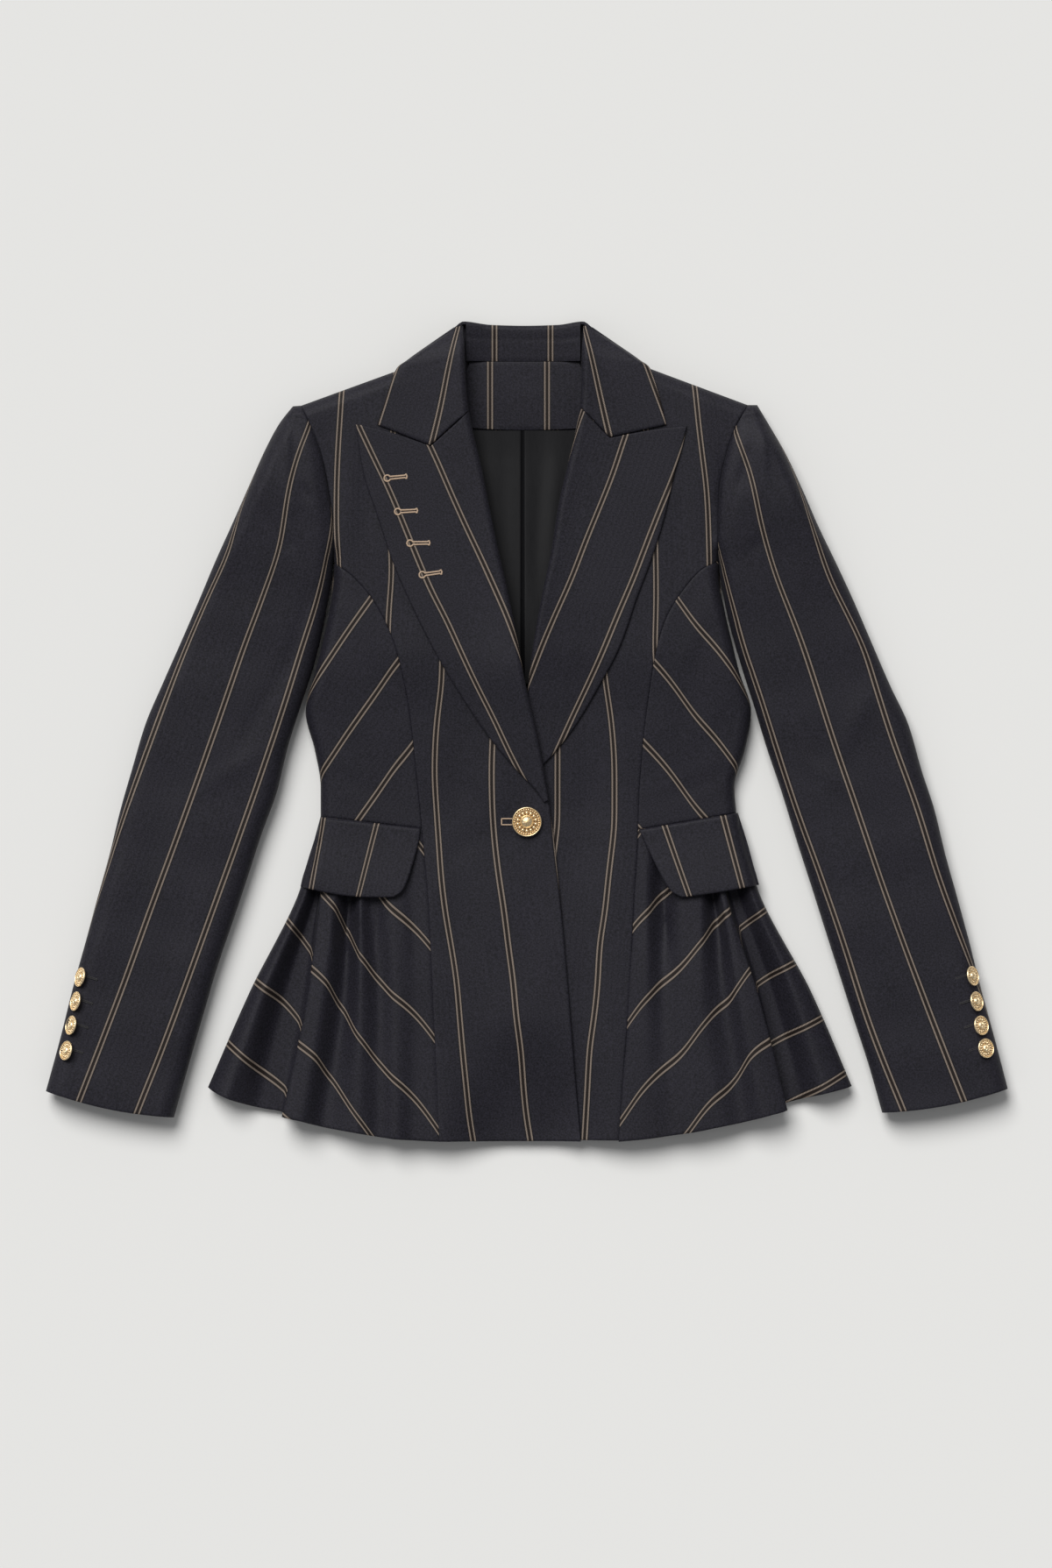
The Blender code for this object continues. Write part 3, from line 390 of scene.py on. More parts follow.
# materials
def put(tree, socket, value):
    # a link from another node's output, or a constant
    value = getattr(value, "socket", value)
    if isinstance(value, bpy.types.NodeSocket):
        tree.links.new(value, socket)
    else:
        socket.default_value = (*value, 1) if socket.type == "RGBA" else value


def addNode(tree, kind, sockets, settings):
    node = tree.nodes.new(kind)
    for key, value in settings.items():
        setattr(node, key, value)
    for key, value in sockets.items():
        put(tree, node.inputs[key], value)
    return node.outputs


class Wire:
    # one socket's value; arithmetic on it adds Math nodes
    def __init__(self, finish, socket):
        self.finish, self.socket = finish, socket

    def math(self, operation, *others):
        return self.finish.add("ShaderNodeMath", dict(enumerate((self, *others))), operation=operation)

    def flipped(self, operation, other):
        return self.finish.add("ShaderNodeMath", {0: other, 1: self}, operation=operation)

    def __add__(self, other):
        return self.math("ADD", other)

    def __sub__(self, other):
        return self.math("SUBTRACT", other)

    def __mul__(self, other):
        return self.math("MULTIPLY", other)

    def __truediv__(self, other):
        return self.math("DIVIDE", other)

    def __rsub__(self, other):
        return self.flipped("SUBTRACT", other)

    __radd__, __rmul__ = __add__, __mul__

    def part(self):
        return self.math("FRACT")

    def size(self):
        return self.math("ABSOLUTE")

    def between(self, low, high):
        # 0 below low, 1 above high, soft between
        sockets = {"Value": self, "From Min": low, "From Max": high}
        return self.finish.add("ShaderNodeMapRange", sockets, interpolation_type="SMOOTHSTEP")


class Finish:
    def __init__(self, name, **constants):
        self.material = bpy.data.materials.new(name)
        self.material.use_nodes = True
        self.tree = self.material.node_tree
        self.shader = self.tree.nodes["Principled BSDF"]
        for key, value in constants.items():
            self.shader.inputs[key.replace("_", " ")].default_value = value

    def add(self, kind, sockets, out=0, **settings):
        return Wire(self, addNode(self.tree, kind, sockets, settings)[out])

    def mix(self, share, first, second):
        return self.add("ShaderNodeMix", {0: share, 6: first, 7: second}, 2, data_type="RGBA")

    def noise(self, scale, detail=2.0, vector=None):
        sockets = {"Scale": scale, "Detail": detail}
        if vector is not None:
            sockets["Vector"] = vector
        return self.add("ShaderNodeTexNoise", sockets)

    def place(self):
        return self.add("ShaderNodeTexCoord", {}, 3)

    def surface(self, colour, roughness=None, height=None, bump=0.3, depth=0.0001):
        put(self.tree, self.shader.inputs["Base Color"], colour)
        if roughness is not None:
            put(self.tree, self.shader.inputs["Roughness"], roughness)
        if height is not None:
            normal = self.add("ShaderNodeBump", {"Strength": bump, "Distance": depth, "Height": height})
            put(self.tree, self.shader.inputs["Normal"], normal)
        return self.material


suitingValues = {
    "ground": (0.0017, 0.0015, 0.0034),
    "groundLight": (0.0262, 0.0244, 0.0362),
    "line": (0.335, 0.272, 0.225),
    "lineDark": (0.030, 0.020, 0.014),
    "between": (0.0105, 0.0065, 0.0050),
    "border": (0.0040, 0.0036, 0.0045),
    "lineAt": 1.80,        # from the stripe's middle to each line, mm
    "lineHalf": 0.60,
    "dash": 0.95,          # pitch of the slanted breaks, mm
    "rib": 0.82,           # pitch of the herringbone's ribs, mm
    "chevron": 4.6,        # width of one chevron, mm
}


def makeSuiting():
    v = suitingValues
    cloth = Finish("stripedSuiting", Sheen_Weight=0.02, Sheen_Roughness=0.5, Specular_IOR_Level=0.22)
    uv = cloth.add("ShaderNodeUVMap", {}, uv_map="cloth")
    number, along = (cloth.add("ShaderNodeSeparateXYZ", {0: uv}, k) for k in (0, 1))
    u = number * blazer["stripeGap"]
    w = along * blazer["stripeGap"]
    offset = ((number + 0.5).part() - 0.5) * blazer["stripeGap"]
    far = offset.size()
    onLine = 1 - (far - v["lineAt"]).size().between(v["lineHalf"] - 0.14, v["lineHalf"] + 0.14)
    slant = (w / v["dash"] + far * 0.9).part()
    broken = (slant - 0.5).size().between(0.20, 0.36)
    between = 1 - far.between(v["lineAt"] - v["lineHalf"] - 0.25, v["lineAt"] - v["lineHalf"] + 0.1)
    border = (1 - far.between(3.0, 3.7)) * far.between(2.2, 2.5)
    chevron = ((u / v["chevron"]).part() - 0.5).size() * v["chevron"]
    rib = ((w + chevron * 1.4) / v["rib"]).part()
    ribHeight = 1 - (rib - 0.5).size() * 2
    place = cloth.place()
    fuzz = cloth.noise(2600.0, 1.0, place)
    slubs = cloth.noise(760.0, 2.0, place)
    cloudy = cloth.noise(22.0, 3.0, place)
    light = ribHeight * 0.40 + fuzz * 0.40 + slubs * 1.5 + cloudy * 0.24 - 0.86
    ground = cloth.mix(light, v["ground"], v["groundLight"])
    line = cloth.mix(broken, v["line"], v["lineDark"])
    colour = cloth.mix(border * 0.75, ground, v["border"])
    colour = cloth.mix(between, colour, v["between"])
    colour = cloth.mix(onLine, colour, line)
    roughness = 0.66 - fuzz * 0.10
    height = ribHeight * 0.6 + fuzz * 0.5 + onLine * (1 - broken) * 0.6
    return cloth.surface(colour, roughness, height, bump=0.35, depth=0.00018)


def makeSatin():
    satin = Finish("charcoalSatin", Sheen_Weight=0.01, Specular_IOR_Level=0.22)
    place = satin.place()
    drawn = satin.add("ShaderNodeMapping", {"Vector": place, "Scale": (1.0, 0.12, 1.0)})
    thread = satin.noise(900.0, 1.0, drawn)
    cloudy = satin.noise(14.0, 2.0, place)
    colour = satin.mix(thread * 0.5 + cloudy * 0.4, (0.0042, 0.0042, 0.0052), (0.0092, 0.0092, 0.0106))
    return satin.surface(colour, 0.42 + thread * 0.12, thread, bump=0.12, depth=0.00006)


def makeGold():
    gold = Finish("antiqueGold", Metallic=1.0)
    hollow = gold.add("ShaderNodeAttribute", {}, 2, attribute_name="hollow")
    place = gold.place()
    worn = gold.noise(700.0, 3.0, place)
    colour = gold.mix(worn * 0.35, (1.0, 0.82, 0.53), (0.96, 0.68, 0.37))
    colour = gold.mix(hollow * 0.70, colour, (0.17, 0.08, 0.03))
    return gold.surface(colour, 0.33 + worn * 0.10 + hollow * 0.18, worn, bump=0.08, depth=0.00008)


def makeThread(name, light, dark):
    thread = Finish(name, Roughness=0.7, Sheen_Weight=0.2)
    twist = thread.noise(1500.0, 2.0, thread.place())
    return thread.surface(thread.mix(twist, dark, light), None, twist, bump=0.4, depth=0.0001)


suiting = makeSuiting()
satin = makeSatin()
gold = makeGold()
beigeThread = makeThread("beigeThread", (0.62, 0.46, 0.33), (0.40, 0.285, 0.19))
darkThread = makeThread("darkThread", (0.030, 0.028, 0.032), (0.010, 0.009, 0.011))
print("materials ready")


# fronts
frontValues = {
    "hiddenEdge": 4,       # starts this far inside the lapel's roll line
    "lapelEnd": -55,
    "edgeDrop": 1.2,
    "edgeReach": 2.0,
    "hemDrop": 13.5,       # how much lower the hem lies at the middle than at the seams
    "dropRun": (-236, 104),    # where that starts, and how long it takes
    "dropWidth": (14, 62),
}
fronts = {
    "right": table(
        "in_x in_y out_x out_y",
        (70, 314.5, 188, 271.5), (68, 295, 179, 252), (58, 274, 170.5, 228), (40, 229, 165, 200),
        (30, 180, 161, 169), (21, 142, 161, 143),   # underarm
        (17, 123, 145, 129), (14, 110, 130, 112), (9, 82, 114, 83), (4, 54, 106, 58), (-4, 16, 98, 18),
        (-11, -13, 94, -17), (-17, -50, 90, -55), (-22, -86, 87, -88),   # waist
        (-28, -143, 82, -143), (-34, -209, 79, -209), (-39, -274, 76, -274),
        (-45, -342, 73, -342),   # hem
    ),
    "left": table(
        "in_x in_y out_x out_y",
        (70, 314.5, 184, 272), (66, 295, 174, 254), (56, 274, 167, 235), (36, 231, 160, 200),
        (25, 180, 159, 169), (18, 142, 159.5, 143), (15, 123, 146, 135), (12, 108, 129, 116),
        (7, 82, 115, 92), (3, 54, 106.5, 62), (0, 16, 100, 20), (-3, -15, 96, -18),
        (-8, -52, 93.3, -55), (-11, -88, 92.5, -88), (-12, -143, 89, -146), (-12, -209, 86, -212),
        (-11, -274, 81, -277), (-10, -341, 76.5, -341),
    ),
}
underarmRow = 5
pastEdge = 51.5            # from the right front's last stripe to the one that its edge hides
frontStripes = {
    "right": stripesByLevel([(y, third, fourth, fourth - pastEdge) for y, third, fourth in (
        (284, 65, 20.5), (214.5, 68, 23), (171, 69.5, 25), (134.5, 68.5, 24.5), (98, 70, 25),
        (39.5, 71, 25), (25, 73, 26.5), (-4.5, 76, 28.5), (-33.5, 77, 29.5), (-63, 75.5, 29),
        (-92, 73.5, 27), (-121, 71.5, 23.5), (-150.5, 68, 19), (-179.5, 63, 15.5),
        (-209, 58.5, 11.5), (-238, 56, 9), (-267, 53.5, 5), (-296.5, 50.5, 3),
        (-325.5, 47.5, 0), (-341.5, 44.5, -3),
    )]),
    "left": stripesByLevel((
        (284, 95.5, 51), (258.5, 98, 53.5), (229, 101.5, 57), (200, 105, 60.5), (171, 106.5, 62),
        (112.5, 107.5, 63), (65, 106.5, 63.5), (39.5, 110, 65.5), (25, 113, 68),
        (-4.5, 117.5, 71.5), (-33.5, 120.5, 73), (-77.5, 120.5, 73), (-92, 119.5, 71.5),
        (-121, 116, 68), (-150.5, 113, 65), (-179.5, 109, 60.5), (-209, 107.5, 59),
        (-238, 104.5, 56), (-267, 100, 52), (-296.5, 98.5, 50.5), (-340, 96.5, 48),
    )),
}
frontCreases = {
    "right": (
        (169, 236, 159, 170, 5, -1.3), (152, 262, 146, 150, 9, 0.7), (128, 250, 134, 150, 11, -0.6),
        (60, -40, 28, -70, 9, -0.5), (70, -110, 34, -84, 10, -0.5), (84, -100, 60, -300, 12, 0.6),
    ),
    "left": (
        (166, 240, 158, 172, 5, -1.3), (148, 258, 140, 150, 9, 0.7), (126, 246, 130, 150, 11, -0.6),
        (40, -120, 44, -300, 12, -0.6), (70, -100, 62, -290, 12, 0.6),
    ),
}
seamNear = tuple(edgeSteps(blazer["seamReach"])[1:-1])
shoulderNear = tuple(edgeSteps(blazer["shoulderRoll"], 9)[1:-1])


def frontEdges(side):
    _, _, inner, outer, _ = strip(fronts[side], shoulderNear, seamNear)
    underLapel = ease((inner[:, 1] - frontValues["lapelEnd"] + 6) / 14) * (1 - ease((inner[:, 1] - 262) / 12))
    inner[:, 0] += frontValues["hiddenEdge"] * underLapel
    return inner, outer, underLapel


def princessSeam(side, y):
    # outer edge of the front: armhole, then princess seam
    outer = frontEdges(side)[1]
    return np.interp(-np.asarray(y), -outer[:, 1], outer[:, 0])


def makeFront(side):
    v = frontValues
    inner, outer, underLapel = frontEdges(side)
    distance, ground = laid(inner, outer, v["edgeReach"], blazer["seamReach"])
    toIn, toOut, _, toHem = fromEnds(distance, ground)
    x, y = ground[..., 0], ground[..., 1]
    height = frontFace(side, x, y) + creases(frontCreases[side], x, y)
    (start, run), (flat, reach) = v["dropRun"], v["dropWidth"]
    height -= v["hemDrop"] * ease((start - y) / run) * (1 - ease((np.abs(x) - flat) / reach))
    height += drift(x, y, 3 + (side == "left")) * edgeRoll(side, x, y)
    height += tuck(toIn, v["edgeDrop"], v["edgeReach"]) * (1 - underLapel)[:, None]
    height += tuck(toOut) + tuck(toHem, *blazer["hem"])
    points = withHeight(ground, height)
    uv = onCloth(frontStripes[side], points, (0, 1))
    sew("front", side, points, uv, upright=[outerEdge], sideways=[firstRow], restsOn=["back", "back_peplum"])


# side fronts, cut on the bias
sideFronts = {
    "right": table(
        "in_x in_y out_y",
        (158, 140, 138), (145, 129, 121), (130, 112, 102), (114, 83, 76), (106, 58, 52), (98, 18, 18),
        (94, -17, -15), (90, -55, -47), (87.5, -81, -71),
    ),
    "left": table(
        "in_x in_y out_y",
        (156.5, 141.5, 139), (146, 135, 126), (129, 116, 104), (115, 92, 82), (106.5, 62, 54),
        (100, 20, 18), (96, -18, -15), (93.3, -55, -45), (92.7, -82, -68),
    ),
}
sideFrontStripes = {
    "right": stripesByCurve((
        (85, 173), (98.5, 151.8), (108, 142), (122, 121), (133.5, 105), (151, 80.3), (172.5, 48),
        (181.8, 35.8), (190.5, 23.4),
    ), 84.5),
    "left": stripesByCurve((
        (70, 98), (83, 82), (95.5, 68), (105, 58.5), (122, 38.5), (141, 11.5), (156, -4.5),
        (177.5, -33.5), (190.5, -52.5),
    ), 76.0),
}
sideFrontCreases = {
    "right": ((150, 110, 120, 40, 9, 0.6), (172, -30, 110, -60, 8, -0.5), (168, 30, 130, -10, 10, 0.5)),
    "left": ((150, 108, 122, 40, 9, 0.6), (172, -32, 112, -58, 8, -0.5), (170, 28, 130, -12, 10, 0.5)),
}


def makeSideFront(side):
    rows = dict(sideFronts[side])
    rows["out_x"] = sideSeam(side, rows["out_y"])
    _, _, inner, outer, _ = strip(rows, seamNear, seamNear)
    inner[:, 0] = princessSeam(side, inner[:, 1])
    outer[:, 0] = sideSeam(side, outer[:, 1])
    distance, ground = laid(inner, outer, blazer["seamReach"], blazer["sideRoll"], (6, 9))
    toIn, _, _, toWaist = fromEnds(distance, ground)
    x, y = ground[..., 0], ground[..., 1]
    height = frontFace(side, x, y) + tuck(toIn) + tuck(toWaist)
    height += (creases(sideFrontCreases[side], x, y) + drift(x, y, 8)) * edgeRoll(side, x, y)
    points = withHeight(ground, height)
    uv = onCloth(sideFrontStripes[side], points, (-0.55, 0.83))
    upright = [firstRow, lastRow, innerEdge]
    sew("side_front", side, points, uv, upright=upright, sideways=[outerEdge], restsOn=["back"])


# peplum sides with their folds, one row for each seam, valley, ridge and fold edge
peplumValues = {"mid": 0.30, "low": 0.58, "length": 262.0, "sub": 8, "foldIndex": 7, "wave": 1.1,
                "under": (0.2, 1.7), "along": (-0.62, -0.78)}
peplums = {
    "right": table(
        "mid_x mid_y mid_z low_x low_y low_z hem_x hem_y hem_z",
        (82.5, -139, 0, 78, -222, 0, 73, -342, 0),
        (96, -139, 17, 92, -222, 19.5, 94, -341, 20),
        (112, -139, 19.5, 108, -222, 22.5, 109, -340, 24.5),
        (129, -139, 14, 123, -222, 16.5, 124, -338, 19.5),
        (138, -139, 19, 138, -221, 23.5, 141, -335, 24.5),
        (147, -138, 7, 153, -220, 10.5, 170, -330, 15.5),
        (160, -137, 20, 170, -219, 24.5, 188, -325, 27),
        (171.5, -137, 18, 182.5, -219, 21.5, 204, -321, 23.5),     # fold edge
        (172.5, -136, 11, 181.5, -218, 13, 201, -319, 15),
        (173.5, -136, 5.2, 188, -218, 5.4, 207, -317, 7),
        (176, -135, 5.6, 201, -218, 4.2, 224, -314, 7.5),
        (184, -134, 16.5, 219, -217, 20.5, 250, -306, 23),
        (189, -134, 12.5, 228, -216, 14.5, 263.5, -299, 14.5),
        (190, -134, 0, 230.5, -216, 0, 266, -297, 0),
    ),
    "left": table(
        "mid_x mid_y mid_z low_x low_y low_z hem_x hem_y hem_z",
        (89, -139, 0, 83, -222, 0, 76.5, -342, 0),
        (99, -139, 19, 99, -222, 22.5, 98, -340, 22.5),
        (113, -139, 9.5, 114, -222, 17.5, 120, -337, 20.5),
        (131, -139, 19.5, 130, -221, 21.5, 140, -334, 23.5),
        (145, -138, 19, 145, -220, 23.5, 160, -330, 23.5),
        (155, -138, 7.5, 163, -219, 16.5, 180, -326, 19),
        (162, -137, 19.5, 178, -219, 24.5, 199, -321, 26.5),
        (166, -137, 18.5, 192.5, -219, 22, 217, -315.5, 22.5),     # fold edge
        (167, -136, 12, 191, -218, 13, 214, -313, 13.5),
        (170, -135, 5.8, 195, -218, 5.2, 215, -311, 6.5),
        (176, -135, 5.6, 205, -218, 5, 228, -307, 8),
        (187, -134, 17.5, 222, -217, 21, 249, -302, 22),
        (192.5, -134, 13, 234, -216, 14.5, 268.5, -297, 14.5),
        (193.5, -134, 0, 236.5, -216, 0, 271, -296, 0),
    ),
}
peplumCreases = {
    "right": (
        (150, -132, 151, -186, 2.4, -2), (140, -134, 139, -172, 2.2, 1),
        (122, -136, 126, -176, 3, -1.4), (104, -136, 100, -190, 5, 0.9), (166, -134, 160, -200, 3, 0.9),
        (118, -240, 128, -330, 8, 0.9), (224, -238, 236, -300, 5, 0.9),
    ),
    "left": (
        (114, -132, 116, -176, 2.6, -1.8), (124, -134, 122, -182, 4, 1),
        (157, -132, 163, -182, 2.2, -2), (163, -134, 176, -186, 2.4, 1.1),
        (104, -136, 103, -196, 4, 0.8), (186, -140, 226, -270, 3.4, 1.2),
        (120, -240, 112, -330, 9, 0.8),
    ),
}
peplumStripes = {
    "right": {
        "inner": stripesByCurve((
            (70, -267), (77.5, -255), (95.5, -230), (117.5, -209.5), (130.5, -191.5), (148, -166.5),
            (159, -150), (176.5, -128), (192, -116), (212.5, -98),
        ), 71.5),
        "outer": stripesByCurve((
            (160, -136), (176.5, -117), (189, -99.5), (201, -84.5), (226.5, -65.5), (249, -46), (275, -24),
        ), 71.5),
    },
    "left": {
        "inner": stripesByCurve((
            (65, -270), (72.5, -260), (83, -246), (92.5, -230), (112.5, -209), (130, -195), (141.5, -177.5),
            (155.5, -160), (173, -147.5), (184.5, -125.5), (203.5, -112.5), (218.5, -103),
        ), 72.5),
        "outer": stripesByCurve((
            (160, -120), (173, -111), (190.5, -97.5), (203.5, -88.5), (225.5, -77), (247.5, -66),
            (265.5, -55), (276.5, -49),
        ), 57.5),
    },
}


def peplumPoints(side, share, depth):
    # share counts the table's rows from the princess seam, depth runs from waist to hem
    rows = peplums[side]
    knot = np.linspace(0, 1, len(rows["hem_x"]))
    sideRows = sideFronts[side]
    waistShare = (rows["mid_x"] - rows["mid_x"][0]) / np.ptp(rows["mid_x"])
    start = np.array((princessSeam(side, sideRows["in_y"][-1]), sideRows["in_y"][-1]))
    endY = sideRows["out_y"][-1]
    end = np.array((sideSeam(side, endY), endY))
    waist = start + (end - start) * waistShare[:, None]
    stations = [np.concatenate((waist, frontFace(side, waist[:, 0], waist[:, 1])[:, None]), axis=1)]
    for place in ("mid", "low", "hem"):
        x, y, z = (rows[f"{place}_{axis}"].copy() for axis in "xyz")
        z[0] = frontFace(side, x[0], y[0])
        z[-1] = level("seam", y[-1]) + blazer["gap"] / 2
        stations.append(np.stack((x, y, z), 1))
    lines = [np.stack([smooth(knot, station[:, k], share) for k in range(3)], -1) for station in stations]
    stops = (0, peplumValues["mid"], peplumValues["low"], 1)
    grid = np.empty((len(depth), len(share), 3))
    for c in range(len(share)):
        for k in range(3):
            grid[:, c, k] = smooth(stops, [line[c, k] for line in lines], depth)
    if share[0] == 0:
        grid[:, 0, 0] = princessSeam(side, grid[:, 0, 1])
        grid[:, 0, 2] = frontFace(side, grid[:, 0, 0], grid[:, 0, 1])
    return grid


def makePeplum(side):
    v = peplumValues
    count = len(peplums[side]["hem_x"]) - 1
    share = np.linspace(0, 1, v["sub"] * count + 1)
    length = v["length"]
    depth = np.linspace(0, 1, int(length / blazer["grid"]))
    near = np.array(seamNear) / length
    depth = np.unique(np.round(np.concatenate((depth, near, 1 - near)), 6))
    points = peplumPoints(side, share, depth)
    toSeam = runningSum(np.linalg.norm(np.diff(points, axis=1), axis=2))
    down = depth[:, None] * length
    points[..., 2] += creases(peplumCreases[side], points[..., 0], points[..., 1]) * ease(share * count) ** 2
    points[..., 2] += tuck(toSeam) + tuck(down) + tuck(length - down, *blazer["hem"])
    x, y = points[..., 0], points[..., 1]
    inner, outer = (peplumStripes[side][part](x, y) for part in ("inner", "outer"))
    fold = v["foldIndex"] * v["sub"] + 1
    inner[:, :fold] = relaid(inner[:, :fold], points[:, :fold], v["wave"])
    (start, run), (alongX, alongY) = v["under"], v["along"]
    under = ease((share * count - v["foldIndex"] - start) / run)
    uv = np.stack((inner + (outer - inner) * under, (x * alongX + y * alongY) / blazer["stripeGap"]), -1)
    upright = [firstRow, innerEdge]
    sew("peplum", side, points, uv, upright=upright, sideways=[outerEdge], restsOn=["back_peplum"])


# pocket flaps
flapValues = {
    "cloth": 2.4,
    "wall": 2.0,
    "edge": (1.2, 1.8),    # how far the edge is pressed down, and over how much
    "seam": (2.2, 3.0),
    "overhang": 1.5,
    "lift": (0.8, 3.4),    # how far the underside stands off at the seam and at the lower edge
    "sag": {"right": 3.4, "left": 0.8},
}
flaps = {
    "right": table(
        "in_x in_y out_x out_y",
        (88.5, -80.7, 171.8, -71.7), (90, -92, 174.5, -82), (93, -104, 178, -93),
        (96.5, -116, 181.5, -104), (100, -126, 184.5, -114), (104.5, -134, 187, -122),
        (111, -138.2, 188.7, -129.5),
    ),
    "left": table(
        "in_x in_y out_x out_y",
        (93.5, -82, 176, -68), (98, -92.5, 179.5, -79), (103.6, -104, 183.3, -91),
        (109.5, -116, 186.3, -102), (115.5, -127, 189, -112), (121, -134, 191.4, -120),
        (129, -138.5, 193.6, -128),
    ),
}
flapStripes = {
    "right": stripesByLevel(((-71, 169.5, 123.5), (-103, 175, 131.7), (-136, 180.5, 140))),
    "left": stripesByLevel(((-71, 163.5, 112), (-104, 172.2, 123.5), (-137, 181, 135))),
}


def makeFlap(side):
    v = flapValues
    near = tuple(edgeSteps(v["edge"][1])[1:-1])
    _, shares, inner, outer, _ = strip(flaps[side], (0.5, 1.2, 2.0, 3.0), near, 2.2)
    distance, ground = laid(inner, outer, v["edge"][1], v["edge"][1], (6, 6), 2.2)
    part = distance / np.linalg.norm(outer - inner, axis=1)[:, None]
    ground[..., 1] -= v["sag"][side] * np.sin(np.pi * part) * shares[:, None] ** 2
    toIn, toOut, toTop, toLow = fromEnds(distance, ground)
    x, y = ground[..., 0], ground[..., 1]
    beside = sideSeam(side, y) + v["overhang"] - x
    body = level("seam", y) + (level("front", y) - level("seam", y)) * roll(beside / blazer["sideRoll"])
    first, last = v["lift"]
    height = body + v["cloth"] + first + (last - first) * ease(shares[:, None])
    height += sum(tuck(far, *v["edge"]) for far in (toIn, toOut, toLow)) + tuck(toTop, *v["seam"])
    points = withHeight(ground, height)
    sew("flap", side, points, onCloth(flapStripes[side], points, (0.2, -0.98)), v["wall"], restsOn=["peplum"])


# lapels: roll line, outer edge, radius of the roll, sag of the row at the gorge
lapelValues = {
    "gorge": {"right": 0.34, "left": 0.278},   # where the row's sag is deepest, as a share of it
    "bow": 1.22,
    "bulge": (0.5, 14),    # height of the cloth beside the roll over the roll's radius, and its reach
    "edge": (1.0, 1.8),
    "step": 2.2,
}
lapels = {
    "right": table(
        "in_x in_y out_x out_y roll sag",
        (48, 266, 142, 255, 5, 25.3), (44, 246, 140, 237, 5, 13), (38, 222, 136, 215, 5, 4),
        (31, 187, 124, 178, 5, 0), (24, 153, 112, 142, 5, 0), (16, 118, 96, 105, 4.6, 0),
        (8, 78, 76, 65, 4.2, 0), (1, 39, 52, 25, 4, 0), (-6, 9, 30, -7, 3.6, 0),
        (-12, -20, 8, -33, 3, 0), (-16, -45, -8, -50, 2, 0), (-18, -57, -14, -59, 1.4, 0),
    ),
    "left": table(
        "in_x in_y out_x out_y roll sag",
        (44.2, 269.3, 133.3, 253.5, 5, 21.1), (40, 247, 129, 235, 5, 10), (34, 222, 123, 215, 5, 3),
        (26, 187, 115, 180, 5, 0), (20, 149, 105, 147, 5, 0), (13, 116, 92, 112, 4.2, 0),
        (7, 83, 78, 72, 3.4, 0), (2, 47, 58, 34, 2.6, 0), (-1, 16, 40, 4, 2.4, 0),
        (-3, -12, 23, -18, 2.2, 0), (-7, -37, 5, -37, 2, 0), (-9, -50, -4, -50, 1.4, 0),
    ),
}
lapelStripes = {
    "right": stripesByLevel((
        (253.5, 139.5, 88.5), (229, 128, 76.5), (200, 114, 64), (171, 102, 51), (141.5, 90, 37),
        (112.5, 77.5, 24), (98, 69.5, 17.5), (68.5, 56, 6.5), (39.5, 42.5, -6), (10, 27.5, -20.5),
        (-19, 14, -34.5), (-44.5, 0.5, -47.5),
    )),
    "left": stripesByLevel((
        (253.5, 137, 84.5, 41.3), (244, 133.5, 81, 38), (214.5, 123, 71.5, 26), (185.5, 111, 60, 14),
        (156, 99.5, 48, 1), (127, 88.5, 37, -10), (98, 76, 24, -23), (68.5, 64, 11.5, -36),
        (39.5, 51, 0.5, -47), (10, 37, -13, -60), (-4.5, 30.5, -19.5, -67), (-26.5, 20.5, -30, -77),
    )),
}


def sagOf(share, peak, bend=1.0):
    return np.where(share < peak, share / peak, np.clip((1 - share) / (1 - peak), 0, 1) ** bend)


def bulge(distance, radius):
    share, reach = lapelValues["bulge"]
    return share * radius * np.exp(-np.maximum(distance - radius, 0) / reach)


def lapelFace(side, x, y, distance, radius):
    return frontFace(side, x, y) + blazer["layer"] + blazer["lapelCloth"] + bulge(distance, radius)


def turnOver(height, radius, turn, toEdge, down):
    # the first points of each row follow the cloth's roll, and the other edges are pressed down
    rolled = len(turn)
    height[:, :rolled] = height[:, rolled - 1:rolled] - radius * (1 - np.sin(turn))
    drop = tuck(toEdge, *lapelValues["edge"]) + tuck(down[:, None], *lapelValues["edge"])
    height[:, rolled:] += drop[:, rolled:]


def lapelWall(radius, shape):
    return np.broadcast_to(np.minimum(blazer["lapelCloth"], 0.2 + 0.55 * radius), shape)


def makeLapel(side):
    rows = lapels[side]
    knot, shares, inner, outer, down = strip(rows, blazer["pressedRows"], (), lapelValues["step"])
    radius = smooth(knot, rows["roll"], shares)[:, None]
    sag = smooth(knot, rows["sag"], shares)[:, None]
    width = np.linalg.norm(outer - inner, axis=1)[:, None]
    radius = np.minimum(radius, 0.45 * width)
    turn = np.radians(np.linspace(-45, 90, 12))
    gorge = lapelValues["gorge"][side] * width
    edge = np.minimum(lapelValues["edge"][1], 0.2 * width)
    before = radius + (gorge - radius) * np.linspace(0, 1, 14)[1:]
    after = gorge + (width - edge - gorge) * np.linspace(0, 1, 28)[1:]
    last = width - edge * np.array((0.62, 0.32, 0.1, 0))
    distance = np.concatenate((radius * (1 - np.cos(turn)), before, after, last), axis=1)
    ground = plan(inner, outer, distance)
    ground[..., 1] -= sag * sagOf(distance / width, lapelValues["gorge"][side], lapelValues["bow"])
    height = lapelFace(side, ground[..., 0], ground[..., 1], distance, radius)
    turnOver(height, radius, turn, width - distance, down)
    points = withHeight(ground, height)
    uv = onCloth(lapelStripes[side], points, (-0.42, -0.9))
    sew("lapel", side, points, uv, lapelWall(radius, height.shape), restsOn=["front"])


# collar
collarGorge = {"right": 0.42, "left": 0.345}
